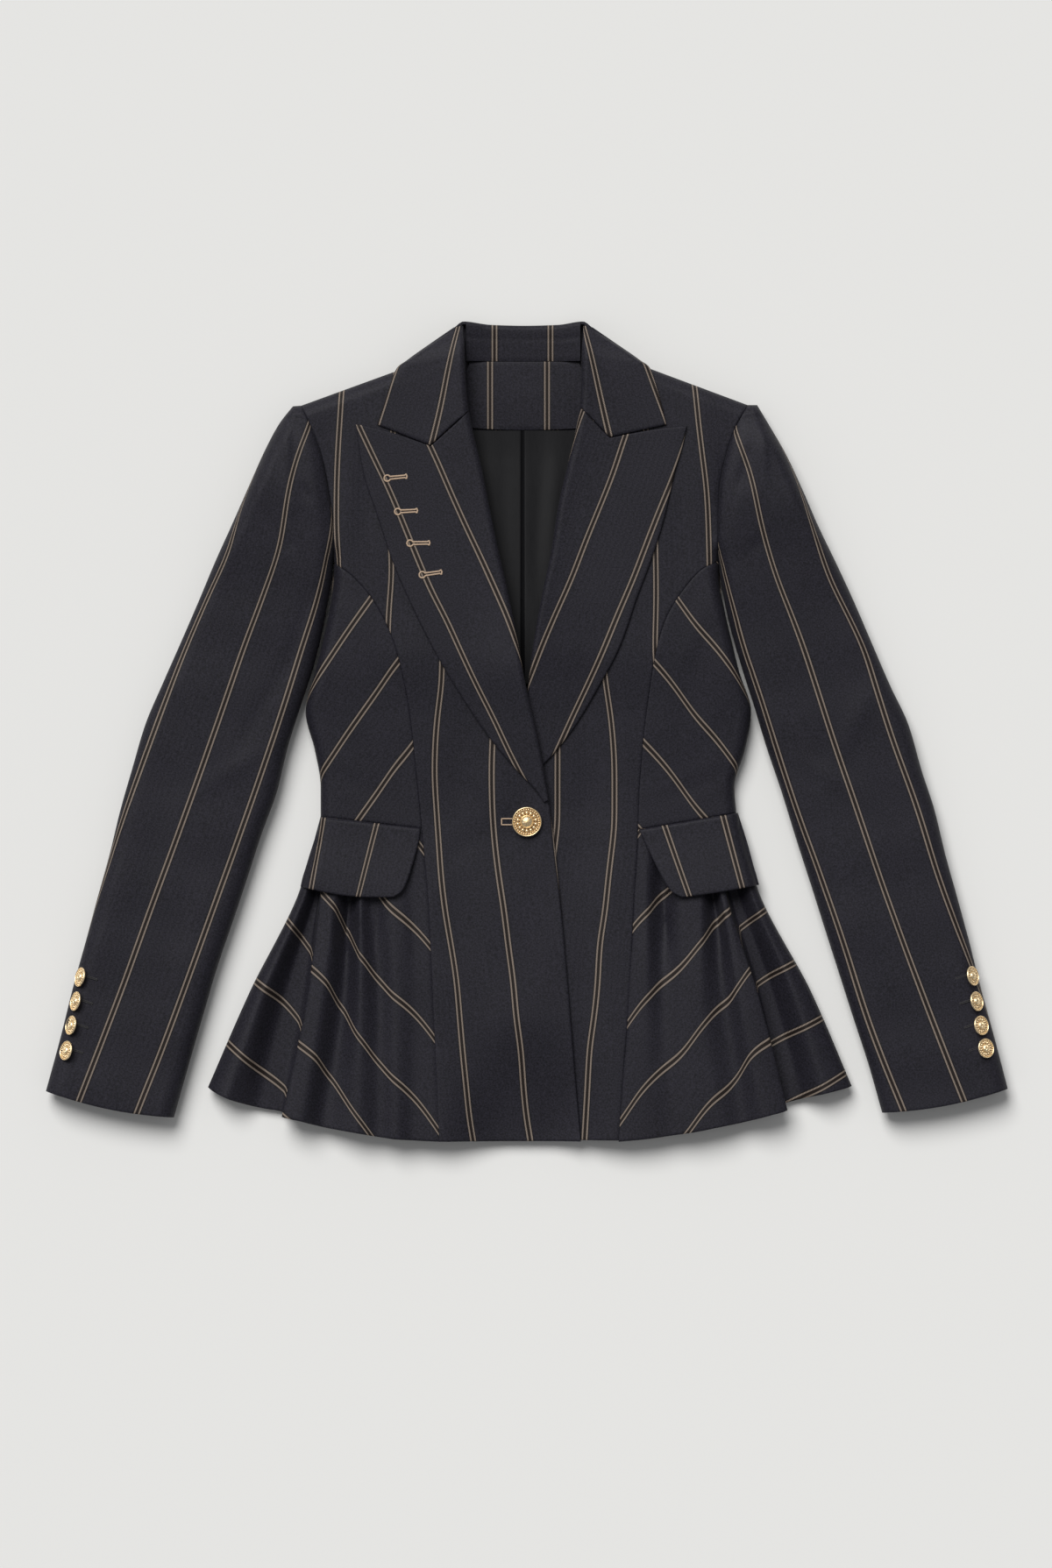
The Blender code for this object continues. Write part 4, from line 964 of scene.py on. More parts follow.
# height of its outer face, of its end, of its inner edge, and radius of its roll
collarHeights = table(
    "top end low roll",
    (28.8, 28.8, 24, 5), (28.8, 28.8, 20, 5), (28.8, 28.8, 15.5, 5), (28.6, 25, 12, 5),
    (27, 12, 11, 4.5), (22, 10, 11, 4), (15, 9, 10, 3),
)
collars = {
    "right": table(
        "in_x in_y out_x out_y sag",
        (48.3, 266.8, 124.4, 254.9, 24), (50, 283, 120, 268, 9), (51, 299, 115, 284, 2),
        (51.5, 312, 108, 302.5, 0), (52, 322, 99, 310, 0), (53, 331, 80, 323.5, 0),
        (53, 338, 61, 336.5, 0),
    ),
    "left": table(
        "in_x in_y out_x out_y sag",
        (44.2, 270.2, 116, 255, 20.4), (45, 284, 113, 268, 8), (45.3, 299, 108.5, 284, 2),
        (45.6, 312, 102, 303, 0), (46, 322, 93.5, 310, 0), (47, 331, 74, 323.5, 0),
        (47, 338, 55, 336.5, 0),
    ),
}
collarStripes = {
    "right": stripesByLevel((
        (341.5, 87, 56), (324, 98.5, 60.5), (302, 109.5, 65.5), (273, 118.5, 71), (255.5, 124.5, 75),
        (240, 129, 79),
    )),
    "left": stripesByLevel((
        (341.5, 85, 46), (317, 94.5, 52.5), (301.5, 100.5, 56), (287.5, 105.5, 59), (258.5, 116.5, 65.5),
        (246, 121, 68.5),
    )),
}


def makeCollar(side):
    rows = collars[side] | collarHeights
    knot, shares, inner, outer, down = strip(rows, blazer["pressedRows"], (), 2.0)
    value = {name: smooth(knot, rows[name], shares)[:, None] for name in ("top", "end", "low", "roll", "sag")}
    width = np.linalg.norm(outer - inner, axis=1)[:, None]
    radius = np.minimum(value["roll"], 0.4 * width)
    endRoll = np.minimum(blazer["collarRoll"], 0.5 * width)
    turn = np.radians(np.linspace(0, 90, 10))
    gorge = np.clip(collarGorge[side] * width, radius + 0.5, width - endRoll - 0.5)
    before = radius + (gorge - radius) * np.linspace(0, 1, 12)[1:]
    after = gorge + (width - endRoll - gorge) * np.linspace(0, 1, 14)[1:-1]
    finish = width - endRoll * (1 - np.cos(np.radians(np.linspace(90, 0, 9))))
    distance = np.concatenate((radius * (1 - np.cos(turn)), before, after, finish), axis=1)
    ground = plan(inner, outer, distance)
    ground[..., 1] -= value["sag"] * sagOf(distance / width, collarGorge[side])
    height = value["end"] + (value["top"] - value["end"]) * roll((width - distance) / endRoll)
    body = frontFace(side, ground[..., 0], ground[..., 1])
    height = np.maximum(height, body + blazer["lapelCloth"] + blazer["layer"])
    height += bulge(distance, radius)
    turnOver(height, radius, turn, width - distance, down)
    under = ground[:, 0] + (outer - inner) / width * 0.8
    ground = np.concatenate((under[:, None], ground), axis=1)
    height = np.concatenate((np.minimum(value["low"], height[:, :1] - 1), height), axis=1)
    points = withHeight(ground, height)
    uv = onCloth(collarStripes[side], points, (-0.25, -0.97))
    sew("collar", side, points, uv, lapelWall(radius, height.shape), restsOn=["front"])


standValues = {
    "span": (-50.5, 44.5),
    "seam": 309.0,
    "radius": 4.0,
    "lift": 6.4,
    "band": (327.6, 0.7, 0.8),     # place, depth and half width of the seam along it
    "pressed": (0.4, 1.2),
    "stripes": (27, 46.7),
}
underCollar = table(
    "x low_y fold_y fold_z",
    (-101, 297, 307.5, 12), (-80, 296, 323.5, 10), (-61, 295, 336.5, 9), (-53, 294, 342, 8.6),
    (-30, 293, 339.4, 4.4), (-2, 293, 338.7, 3.6), (26, 293, 339.4, 4.4), (47, 294, 342, 8.6),
    (55, 295, 336.5, 9), (74, 296, 323.5, 10), (95, 297, 307.5, 12),
)


def plainUv(points, offset=0.0, gap=blazer["stripeGap"]):
    x, y = points[..., 0], points[..., 1]
    return np.stack(((x + offset) / gap, y / blazer["stripeGap"]), -1)


def makeCollarStand():
    v = standValues
    x = np.linspace(*v["span"], 50)
    foldY = smooth(underCollar["x"], underCollar["fold_y"], x)
    foldZ = smooth(underCollar["x"], underCollar["fold_z"], x) + blazer["gap"] / 2
    turn = np.radians(np.linspace(90, 0, 9))[:, None]
    top = foldZ + v["radius"]
    low = np.maximum(v["lift"], top - 2)
    share = np.linspace(0, 1, 14)[:-1, None]
    bend = foldY - v["radius"] * (1 - np.cos(turn))
    y = np.concatenate((v["seam"] + (bend[0] - v["seam"]) * share, bend))
    z = np.concatenate((low + (top - low) * share, foldZ + v["radius"] * np.sin(turn)))
    band, depth, half = v["band"]
    z = z - depth * np.exp(-(((y - band - 0.0004 * x**2) / half) ** 2)) + tuck(y - v["seam"], *v["pressed"])
    points = np.stack((np.broadcast_to(x, y.shape), y, z), -1)
    uv = plainUv(points, *v["stripes"])
    sew("collar_stand", None, points, uv, sideways=[lastRow], restsOn=["collar_under"])


def makeUnderCollar():
    x = np.linspace(underCollar["x"][0], underCollar["x"][-1], 76)
    lowY, foldY, foldZ = (smooth(underCollar["x"], underCollar[k], x) for k in ("low_y", "fold_y", "fold_z"))
    foldZ = foldZ - blazer["gap"] / 2
    radius = np.minimum(8, np.minimum(foldZ + 1, 0.6 * (foldY - lowY)))
    turn = np.radians(np.linspace(0, 90, 9))[:, None]
    share = np.linspace(0, 1, 12)[:-1, None]
    bend = foldY - radius * (1 - np.sin(turn))
    y = np.concatenate((lowY + (bend[0] - lowY) * share, bend))
    z = np.concatenate((0 * x + 0 * share, foldZ * (1 - np.cos(turn))))
    points = np.stack((np.broadcast_to(x, y.shape), y, z), -1)
    uv, wall = plainUv(points, 19.2), blazer["lapelCloth"]
    sew("collar_under", None, points, uv, wall, -1, upright=[firstRow], sideways=[lastRow])


# back, on the surface
backValues = {
    "bow": 6,
    "turns": (4, 8),       # rows of cells in the two rounded edges
    "step": 4.0,
    "seam": (0.5, 1.2),    # how deep a seam lies, and over how much
    "hem": (0.7, 1.6),
    "stripes": -24,
    "neck": (46, 58, 312.5),   # half width of its level part, and a point of its curve
    "neckReach": 0.22,
}


def makeBack(side):
    front, rows = fronts[side], sideFronts[side]
    armhole = np.stack((front["out_x"], front["out_y"]), 1)[:underarmRow + 1]
    sideY = np.array((112, 82, 50, 16, -16, -46, rows["out_y"][-1]))
    beside = np.stack((sideSeam(side, sideY), sideY), 1)
    out = np.concatenate((armhole, beside))
    middle = np.linspace(standValues["seam"] - blazer["gap"], rows["in_y"][-1], len(out))
    edges = {"in_x": 0 * middle, "in_y": middle, "out_x": out[:, 0], "out_y": out[:, 1]}
    v = backValues
    knot, shares, inner, outer, _ = strip(edges, shoulderNear, seamNear, v["step"])
    distance, ground = laid(inner, outer, v["seam"][1], blazer["sideRoll"], v["turns"], v["step"])
    x = ground[..., 0]
    half, bendX, bendY = v["neck"]
    neckX = (0, half, bendX, neckPoint[0], out[0, 0])
    neckY = np.interp(x, neckX, (middle[0], middle[0], bendY, neckPoint[1], out[0, 1]))
    straight = middle[0] + (out[0, 1] - middle[0]) * x / out[0, 0]
    ground[..., 1] += (neckY - straight) * np.clip(1 - shares / v["neckReach"], 0, 1)[:, None] ** 1.5
    x, y = ground[..., 0], ground[..., 1]
    toIn, _, _, toWaist = fromEnds(distance, ground)
    points = withHeight(ground, backFace(side, x, y) - tuck(toIn, *v["seam"]) - tuck(toWaist, *v["seam"]))
    belowArm = np.s_[int(np.searchsorted(shares, knot[underarmRow + 1])):, -1]
    sideways = [belowArm, np.s_[0, distance.shape[1] // 3:]]
    uv = onCloth(stripesUp, points, (0, 1))
    sew("back", side, points, uv, face=-1, upright=[innerEdge, lastRow], sideways=sideways)


def makeBackPeplum(side):
    v = backValues
    near = np.array(seamNear) / peplumValues["length"]
    depth = np.unique(np.concatenate((np.linspace(0, 1, 66), near, 1 - near)))
    sideEdge = peplumPoints(side, np.array((1.0,)), depth)[:, 0, :2]
    innerY = smooth((0, 1), (sideFronts[side]["in_y"][-1], peplums[side]["hem_y"][0] + 5), depth)
    inner = np.stack((0 * depth, innerY), 1)
    distance, ground = laid(inner, sideEdge, v["seam"][1], blazer["sideRoll"], v["turns"], v["step"])
    bow = np.sin(np.pi * np.clip(ground[..., 0] / sideEdge[:, :1], 0, 1)) * depth[:, None] ** 2
    ground[..., 1] -= v["bow"] * bow
    toIn, toOut, toWaist, toHem = fromEnds(distance, ground)
    seam = level("seam", ground[..., 1])
    height = np.minimum(seam * (1 - roll(toOut / blazer["sideRoll"])), seam - blazer["gap"] / 2)
    height -= tuck(toIn, *v["seam"]) + tuck(toWaist, *v["seam"]) + tuck(toHem, *v["hem"])
    points = withHeight(ground, height)
    uv = onCloth(stripesUp, points, (0, 1))
    sew("back_peplum", side, points, uv, face=-1, upright=[innerEdge, firstRow], sideways=[outerEdge])


# sleeves: armhole and inner edge, then outer edge; "top" is the height of the outer face at each row
sleeveValues = {
    "seam": 12.0,
    "cuffSag": 4.0,
    "slant": 0.27,
    "along": (0.32, -0.947),
    "grid": 2.8,
    "armhole": (1.0, 3.0),     # how deep the seam lies, and over how much
    "hem": (0.9, 1.6),
    "cuffWall": (6, 0.6),      # so far from the cuff's end the wall is this share of the cloth
    "top": (14, 29, 34, 35, 33, 30, 27, 25.5, 25, 24.5) + 8 * (24,),
}
sleeves = {
    "right": table(
        "in_x in_y out_x out_y",
        (188, 271.5, 195, 271), (179, 252, 206, 257), (170.5, 228, 218, 235), (165, 200, 231, 206),
        (161, 169, 246, 172), (161, 143, 260, 141),   # underarm
        (167, 100, 273, 110), (177, 56, 289, 73), (189, 19, 304, 39), (199, -13, 318, 6),
        (208, -50, 329, -31), (221, -86, 339, -66), (233, -123, 348, -103), (245, -159, 358, -139),
        (257, -194, 368, -176), (268, -231, 378, -212), (281, -276, 389, -256),
        (294, -322, 401, -300),   # cuff
    ),
    "left": table(
        "in_x in_y out_x out_y",
        (184, 272, 192, 272), (174, 254, 201, 257), (167, 235, 216, 231), (160, 200, 230, 201),
        (159, 169, 243, 171), (159.5, 143, 257, 142), (166, 101, 271, 112), (177.5, 58, 287, 75),
        (189.5, 20, 303, 38), (199.5, -13, 318, 6), (212, -50, 329, -32), (225, -92, 340, -66),
        (236, -126, 349, -103), (248, -164, 359, -139), (259.5, -200, 369, -176),
        (271, -236, 378, -212), (285, -279, 390, -256), (296, -318, 401, -298),
    ),
}
sleeveStripes = {
    "right": stripesByLevel((
        (251, 182, 140), (229, 190.5, 149), (200, 198, 156), (156, 205, 163.5), (112.5, 219.5, 173.5),
        (68.5, 236, 187.5), (25, 251, 201), (-33.5, 271.5, 220.5), (-92, 292.5, 241),
        (-150.5, 314, 262), (-209, 335, 283), (-267, 357, 304.5), (-311, 374, 322),
    )),
    "left": stripesByLevel((
        (244, 174.5, 132), (214.5, 185.5, 143), (171, 195, 152), (127, 208, 164), (98, 219.5, 172.5),
        (68.5, 230.5, 180.5), (39.5, 240, 190.5), (-4.5, 254, 204.5), (-63, 274, 223.5),
        (-121, 293.5, 244.5), (-179.5, 314.5, 264.5), (-238, 336.5, 283), (-282, 353.5, 299.5),
        (-311, 365, 311.5),
    )),
}
sleeveCreases = {
    "right": (
        (171, 224, 162, 150, 6, -1.5), (200, 262, 199, 214, 4, 1.3), (190, 206, 178, 190, 4, -1.2),
        (196, 198, 196, 176, 5, 0.9), (192, 150, 202, 162, 5, -0.8), (178, 120, 200, 50, 7, -1),
        (196, 62, 236, -8, 8, -0.9), (292, 44, 258, -24, 9, 1), (218, -14, 276, -52, 8, 0.8),
        (300, -60, 330, -180, 12, -0.8), (262, -120, 300, -250, 12, 0.8),
    ),
    "left": (
        (169, 222, 162, 150, 6, -1.5), (196, 254, 198, 214, 4, 1.3), (182, 226, 174, 198, 5, -1.2),
        (188, 210, 190, 182, 5, 0.9), (186, 150, 198, 160, 5, -0.8), (176, 122, 198, 52, 7, -1),
        (198, 58, 234, -12, 8, -0.9), (290, 42, 258, -24, 9, 1), (222, -20, 280, -54, 8, 0.8),
        (300, -58, 332, -176, 12, -0.8), (266, -126, 304, -248, 12, 0.8),
    ),
}


def sleeveSeam(y):
    # the sleeve's two edges, which meet the body's side seam at the armhole
    return sleeveValues["seam"] + (level("seam", y) - sleeveValues["seam"]) * ease((y - 60) / 100)


def makeSleeve(side, upper):
    v, rows = sleeveValues, sleeves[side]
    knot, shares, inner, outer, down = strip(rows, shoulderNear, (0.3, 0.8, 1.5), v["grid"])
    top = smooth(knot, v["top"], shares)[:, None]
    atArmhole = shares <= knot[underarmRow]
    inner[:, 0] = np.where(atArmhole, princessSeam(side, inner[:, 1]), inner[:, 0] + 0.2)
    distance, ground = laid(inner, outer, blazer["sleeveRoll"], blazer["sleeveRoll"], (9, 9), v["grid"])
    width = np.linalg.norm(outer - inner, axis=1)[:, None]
    ground[..., 1] -= v["cuffSag"] * np.sin(np.pi * distance / width) * shares[:, None] ** 8
    x, y = ground[..., 0], ground[..., 1]
    edge = sleeveSeam(y[:, :1]) + (1 if upper else -1) * blazer["gap"] / 2
    hole = (frontFace if upper else backFace)(side, x[:, :1], y[:, :1])
    sewn = 1 - ease((shares - knot[underarmRow] + 0.005) / 0.03)[:, None]
    start = edge + (hole - edge) * sewn
    turnIn, turnOut = (
        roll(far / np.minimum(blazer["sleeveRoll"], 0.45 * width)) for far in (distance, width - distance)
    )
    toCuff = down[-1] - down[:, None]
    if upper:
        height = edge + turnOut * ((start - edge) + np.maximum(top - start, 0) * turnIn)
        uneven = creases(sleeveCreases[side], x, y) + drift(x, y, 20 + (side == "left"), 0.45)
        height += uneven * turnIn * turnOut
        height += tuck(distance, *v["armhole"]) * sewn + tuck(toCuff, *v["hem"]) * turnIn * turnOut
    else:
        height = edge - turnOut * (edge - start * (1 - turnIn))
        height -= tuck(toCuff, *backValues["hem"]) * turnIn * turnOut
    height[:, 0] = start[:, 0]
    height[0] = edge[0]
    points = withHeight(ground, height)
    uv = onCloth(sleeveStripes[side], points, v["along"])
    wall = np.full(height.shape, blazer["cloth"])
    wall[down < v["cuffWall"][0]] *= v["cuffWall"][1]
    underarm = int(atArmhole.sum())
    upright, sideways = [np.s_[1:underarm, 0]], [firstRow, outerEdge, np.s_[underarm:, 0]]
    half, face, below = ("topsleeve", 1, ["undersleeve"]) if upper else ("undersleeve", -1, ())
    sew(half, side, points, uv, wall, face, upright, sideways, restsOn=below)


# inside of the back: facing and lining
insideValues = {
    "facingCloth": 1.4,
    "liningCloth": 1.2,
    "facingTop": 308.6,
    "facingLow": 251.6,
    "facingHalf": 64,
    "facingTaper": (18, 280, 28),      # how much narrower its top is, from where, over how much
    "facingMiddle": -2,
    "facingSeam": (0.4, 1.2),
    "facingStripes": (30.7, 47.5),
    "facingHem": (0.6, 2),
    "facingBow": (3.5, 8),
    # place, half width and depth of the fold line, then width and height of the cloth beside it
    "pleat": (-3.6, 1.0, 2.2, 8.0, 1.0),
}
lining = table("y right left", (251, 78, 76), (200, 66, 64), (130, 52, 50), (40, 42, 40))
liningFolds = (
    (-30, 250, -14, 90, 8, 0.4), (-20, 246, -18, 120, 6, -0.4), (14, 246, 8, 130, 6, -0.5),
    (24, 244, 18, 120, 7, 0.6), (38, 240, 28, 140, 6, -0.5), (4, 130, 10, 60, 6, 0.4),
)


def onBack(x, y):
    right, left = (backFace(side, np.abs(x), y) for side in ("right", "left"))
    return np.where(x < 0, right, left) + blazer["cloth"] + blazer["layer"]


def makeNeckFacing():
    v = insideValues
    share, y = np.meshgrid(np.linspace(-1, 1, 56), np.linspace(v["facingTop"], v["facingLow"], 30))
    (narrower, start, run), (bow, reach) = v["facingTaper"], v["facingBow"]
    x = share * (v["facingHalf"] - narrower * ease((y - start) / run)) + v["facingMiddle"]
    y = y + bow * (x / v["facingHalf"]) ** 2 * ease((v["facingLow"] + reach - y) / reach)
    height = onBack(x, y) + v["facingCloth"]
    height += tuck(v["facingTop"] - y, *v["facingSeam"]) + tuck(y - v["facingLow"], *v["facingHem"])
    points = np.stack((x, y, height), -1)
    uv = plainUv(points, *v["facingStripes"])
    sew("neck_facing", None, points, uv, v["facingCloth"], restsOn=["back_right", "back_left"])


def makeLining():
    v = insideValues
    y = np.linspace(lining["y"][0], lining["y"][-1], 84)
    right, left = (np.interp(-y, -lining["y"], lining[side])[:, None] for side in ("right", "left"))
    place, half, depth, width, height = v["pleat"]
    beside = place + half * np.array((-3, -2.2, -1.6, -1.1, -0.7, -0.3, 0, 0.3, 0.7, 1.1, 1.6, 2.2, 3))
    share = np.linspace(0, 1, 34)[:-1]
    x = np.concatenate((
        -right + (beside[0] + right) * share,
        np.broadcast_to(beside, (len(y), len(beside))),
        beside[-1] + (left - beside[-1]) * (1 - share[::-1]),
    ), axis=1)
    y = np.broadcast_to(y[:, None], x.shape)
    fall = np.exp(-(((x - place) / half) ** 2))
    over = np.exp(-((np.maximum(x - place, 0) / width) ** 2)) * (x > place) * (1 - fall)
    folds = creases(liningFolds, x, y)
    surface = onBack(x, y) + v["liningCloth"] + depth + np.maximum(folds, -1.2)
    points = np.stack((x, y, surface + height * over - depth * fall), -1)
    uv, below = plainUv(points), ["back_right", "back_left"]
    sew("lining", None, points, uv, v["liningCloth"], slot="lining", restsOn=below, name="satinLining")


print("cut pieces:")
bodyPanels = (makeBack, makeBackPeplum, makeFront, makeSideFront, makePeplum, makeFlap, makeLapel, makeCollar)
for eachSide in sign:
    for makePanel in bodyPanels:
        makePanel(eachSide)
    makeSleeve(eachSide, False)
    makeSleeve(eachSide, True)
makeCollarStand()
makeUnderCollar()
makeNeckFacing()
makeLining()


# buttons, turned with a plain rim, a ring of beads, a ring of petals and a fluted dome
buttonValues = {
    "front": (25.0, 34, 1.7),      # width of the button, number and size of its beads
    "cuff": (16.5, 26, 1.35),
    "beadRing": 0.81,
    "petals": 14,
    "flutes": 9,
    "sides": 112,
    "thickness": 0.2,      # half of the disc's, as a share of its radius
    "place": (0.0, -75.5),     # of the front button
    "rows": {
        "right": table("y turn tilt", (-205, 34, 60), (-225, 28, 60), (-245, 23, 58), (-266, 18, 52)),
        "left": table("y turn tilt", (-204, 31, 53), (-225, 22, 50), (-245, 16, 42), (-264, 12, 36)),
    },
}


def buttonFace(r, angle):
    # height over the radius, both as shares of the radius, and how deep the place lies
    r, angle = np.broadcast_arrays(r, angle)
    rim = 0.20 + 0.12 * np.sqrt(np.clip(1 - ((r - 0.94) / 0.06) ** 2, 0, 1))
    petal = np.abs(np.sin(buttonValues["petals"] * angle / 2)) ** 0.7
    swell = np.sin(np.pi * np.clip((r - 0.46) / 0.28, 0, 1)) ** 0.7
    petals = 0.19 + 0.13 * petal * swell
    ring = 0.20 + 0.14 * np.sqrt(np.clip(1 - ((r - 0.42) / 0.045) ** 2, 0, 1))
    dome = 0.26 + 0.26 * np.sqrt(np.clip(1 - (r / 0.40) ** 2, 0, 1))
    flute = np.clip(np.sin(buttonValues["flutes"] * angle + 5 * r), 0, 1)
    smoothDome, dome = dome, dome - 0.035 * flute * np.sin(np.pi * np.clip(r / 0.38, 0, 1))
    height = np.select((r > 0.88, r > 0.74, r > 0.465, r > 0.375), (rim, 0.19 + 0 * r, petals, ring), dome)
    envelope = np.select((r > 0.88, r > 0.465, r > 0.375), (rim, 0.31 + 0 * r, ring + 0.03), smoothDome)
    return height, np.clip((envelope - height) / 0.10, 0, 1)


def makeButton(node, size, centre, normal):
    # returns the ring that its beads are set on
    radius, sides = size / 2, buttonValues["sides"]
    angle = np.linspace(0, 2 * math.pi, sides, endpoint=False)
    face = np.concatenate((np.linspace(0.02, 0.88, 40), 0.94 - 0.06 * np.cos(np.linspace(0, math.pi, 9)[1:])))
    height, hollow = buttonFace(face[:, None], angle[None])
    back = np.array(((0.985, 0.16), (0.93, 0.12), (0.22, 0.10), (0.22, 0.0), (0.02, 0.0)))
    radii = np.concatenate((face, back[:, 0]))
    height = np.concatenate((height, np.repeat(back[:, 1:], sides, axis=1)))
    hollow = np.concatenate((hollow, np.zeros((len(back), sides))))
    ring = np.stack((np.cos(angle), np.sin(angle)), -1)
    verts = np.concatenate((radii[:, None, None] * ring[None], height[..., None]), axis=2).reshape(-1, 3)
    index = np.arange(len(radii) * sides).reshape(len(radii), sides)
    turned = np.roll(index, -1, axis=1)
    quads = np.stack((index[:-1], index[1:], turned[1:], turned[:-1]), -1).reshape(-1, 4)
    faces = [*quads.tolist(), index[0].tolist(), index[-1][::-1].tolist()]
    place = Vector(normal).to_track_quat("Z", "Y").to_matrix()
    verts = verts @ np.array(place).T * radius + np.array(centre)
    piece = newPiece(pieceName(node), verts, faces, gold, None, 40)
    depth = piece.data.attributes.new("hollow", "FLOAT", "POINT")
    depth.data.foreach_set("value", hollow.ravel().astype(np.float32))
    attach(piece, "root")
    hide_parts(node)
    beads = np.column_stack((buttonValues["beadRing"] * ring[::2], np.full(sides // 2, 0.21)))
    return beads @ np.array(place).T * radius + np.array(centre)


def outerRoll(side, y):
    # the sleeve's outer edge, and the height and width of its roll near the cuff
    edgeX = np.interp(-y, -sleeves[side]["out_y"], sleeves[side]["out_x"])
    return edgeX, sleeveValues["top"][-1] - sleeveValues["seam"], blazer["sleeveRoll"]


def cuffButtonPlace(side, y, turn, tilt):
    # place where the sleeve's outer roll has turned by one angle, for a button that leans by the other
    edgeX, rise, run = outerRoll(side, y)
    slope = math.tan(math.radians(turn))
    share = slope * run / math.hypot(rise, slope * run)
    x = edgeX - run + run * share
    z = sleeveValues["seam"] + rise * math.sqrt(1 - share * share)
    normals = []
    for angle in np.radians((turn, tilt)):
        normal = np.array((math.sin(angle), sleeveValues["slant"] * math.sin(angle), math.cos(angle)))
        normals.append(normal / np.linalg.norm(normal))
    steep, lean = normals
    flip = np.array((sign[side], 1, 1))
    half = buttonValues["thickness"] * buttonValues["cuff"][0] / 2
    centre = np.array((x, y, z)) + (blazer["gap"] + half) * steep
    return (centre - half * lean) * flip, lean * flip


# stitches: one Geometry Nodes tree sets small rounded stitches along a path
def stitchTree():
    tree = bpy.data.node_groups.new("stitchesAlongPath", "GeometryNodeTree")
    inputs = (("Path", "Geometry"), ("Spacing", "Float"), ("Stitch", "Vector"), ("Thread", "Material"))
    for name, kind in inputs:
        tree.interface.new_socket(name, in_out="INPUT", socket_type="NodeSocket" + kind)
    tree.interface.new_socket("Stitches", in_out="OUTPUT", socket_type="NodeSocketGeometry")

    def add(kind, sockets, **settings):
        return addNode(tree, kind, sockets, settings)

    start = add("NodeGroupInput", {})
    curve = add("GeometryNodeMeshToCurve", {0: start["Path"]})
    upright = add("GeometryNodeSetCurveNormal", {"Curve": curve[0]}, mode="Z_UP")
    length = {"Curve": upright[0], "Length": start["Spacing"]}
    spaced = add("GeometryNodeCurveToPoints", length, mode="LENGTH")
    ball = add("GeometryNodeMeshUVSphere", {"Segments": 6, "Rings": 4, "Radius": 0.5})
    each = {key: spaced[key] for key in ("Points", "Rotation")}
    each |= {"Instance": ball["Mesh"], "Scale": start["Stitch"]}
    stitches = add("GeometryNodeInstanceOnPoints", each)
    soft = add("GeometryNodeSetShadeSmooth", {0: stitches[0]})
    real = add("GeometryNodeRealizeInstances", {0: soft[0]})
    paint = add("GeometryNodeSetMaterial", {"Geometry": real[0], "Material": start["Thread"]})
    add("NodeGroupOutput", {0: paint[0]})
    return tree


stitchNodes = stitchTree()


def stitch(name, paths, spacing, size, thread):
    # paths are lists of points in mm; size is the stitch's width, height and length along the path
    verts, edges = [], []
    for path in paths:
        first = len(verts)
        verts += [Vector(point) * mm for point in path]
        edges += [(first + k, first + k + 1) for k in range(len(path) - 1)]
    mesh = bpy.data.meshes.new(name)
    mesh.from_pydata(verts, edges, [])
    guide = bpy.data.objects.new(name + "Guide", mesh)
    bpy.context.collection.objects.link(guide)
    modifier = guide.modifiers.new("stitches", "NODES")
    modifier.node_group = stitchNodes
    values = {"Spacing": spacing * mm, "Stitch": tuple(s * mm for s in size), "Thread": thread}
    for item in stitchNodes.interface.items_tree:
        if item.in_out == "INPUT" and item.name in values:
            modifier[item.identifier] = values[item.name]
    depsgraph = bpy.context.evaluated_depsgraph_get()
    made = bpy.data.meshes.new_from_object(guide.evaluated_get(depsgraph))
    guide.modifiers.remove(modifier)
    bpy.data.objects.remove(guide, do_unlink=True)
    piece = bpy.data.objects.new(name, made)
    bpy.context.collection.objects.link(piece)
    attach(piece, "root")


def setBeads(name, kind, rings):
    width, count, size = buttonValues[kind]
    spacing = math.pi * buttonValues["beadRing"] * width / count
    stitch(name, [[*ring, ring[0]] for ring in rings], spacing, (size, size, size), gold)


def makeButtons():
    v = buttonValues
    frontHeight = float(frontFace("right", *np.array(v["place"]))) + blazer["gap"]
    frontRing = makeButton("front_button", v["front"][0], (*v["place"], frontHeight), (0, 0, 1))
    rings = []
    for side in sign:
        rows = v["rows"][side]
        for k, row in enumerate(zip(rows["y"], rows["turn"], rows["tilt"]), 1):
            rings.append(makeButton(f"cuff_button_{side}_{k}", v["cuff"][0], *cuffButtonPlace(side, *row)))
    setBeads("frontButtonBeads", "front", [frontRing])
    setBeads("cuffButtonBeads", "cuff", rings)


makeButtons()
print("buttons ready")


# buttonholes
buttonholeValues = {
    "eyes": ((116.0, 210.3, 5.5), (107.3, 182.5, 3), (97.1, 156.2, 1), (86.9, 130.0, 8)),  # x, y and turn
    "lapel": (16.5, 2.6, 1.0, 1.9),        # length, radius of the eye, half width of the bar and of its end
    "spacing": 0.45,
    "lift": 0.3,           # middle of a stitch above the cloth
    "stitch": (1.55, 1.0, 0.62),
    "front": ((-6.0, -72.9), (-21.0, -72.9), (-21.0, -78.0), (-6.0, -78.0)),
    "frontSpacing": 0.42,
    "frontLift": 0.35,
    "frontStitch": (1.3, 0.7, 0.5),
    "cuff": (11.0, 1.3, 0.5, 0.8),
    "cuffTurn": 198,
    "cuffMove": (-3.0, 1.5),
    "cuffStitch": (1.0, 0.7, 0.5),
    "cuffLift": 0.25,
}


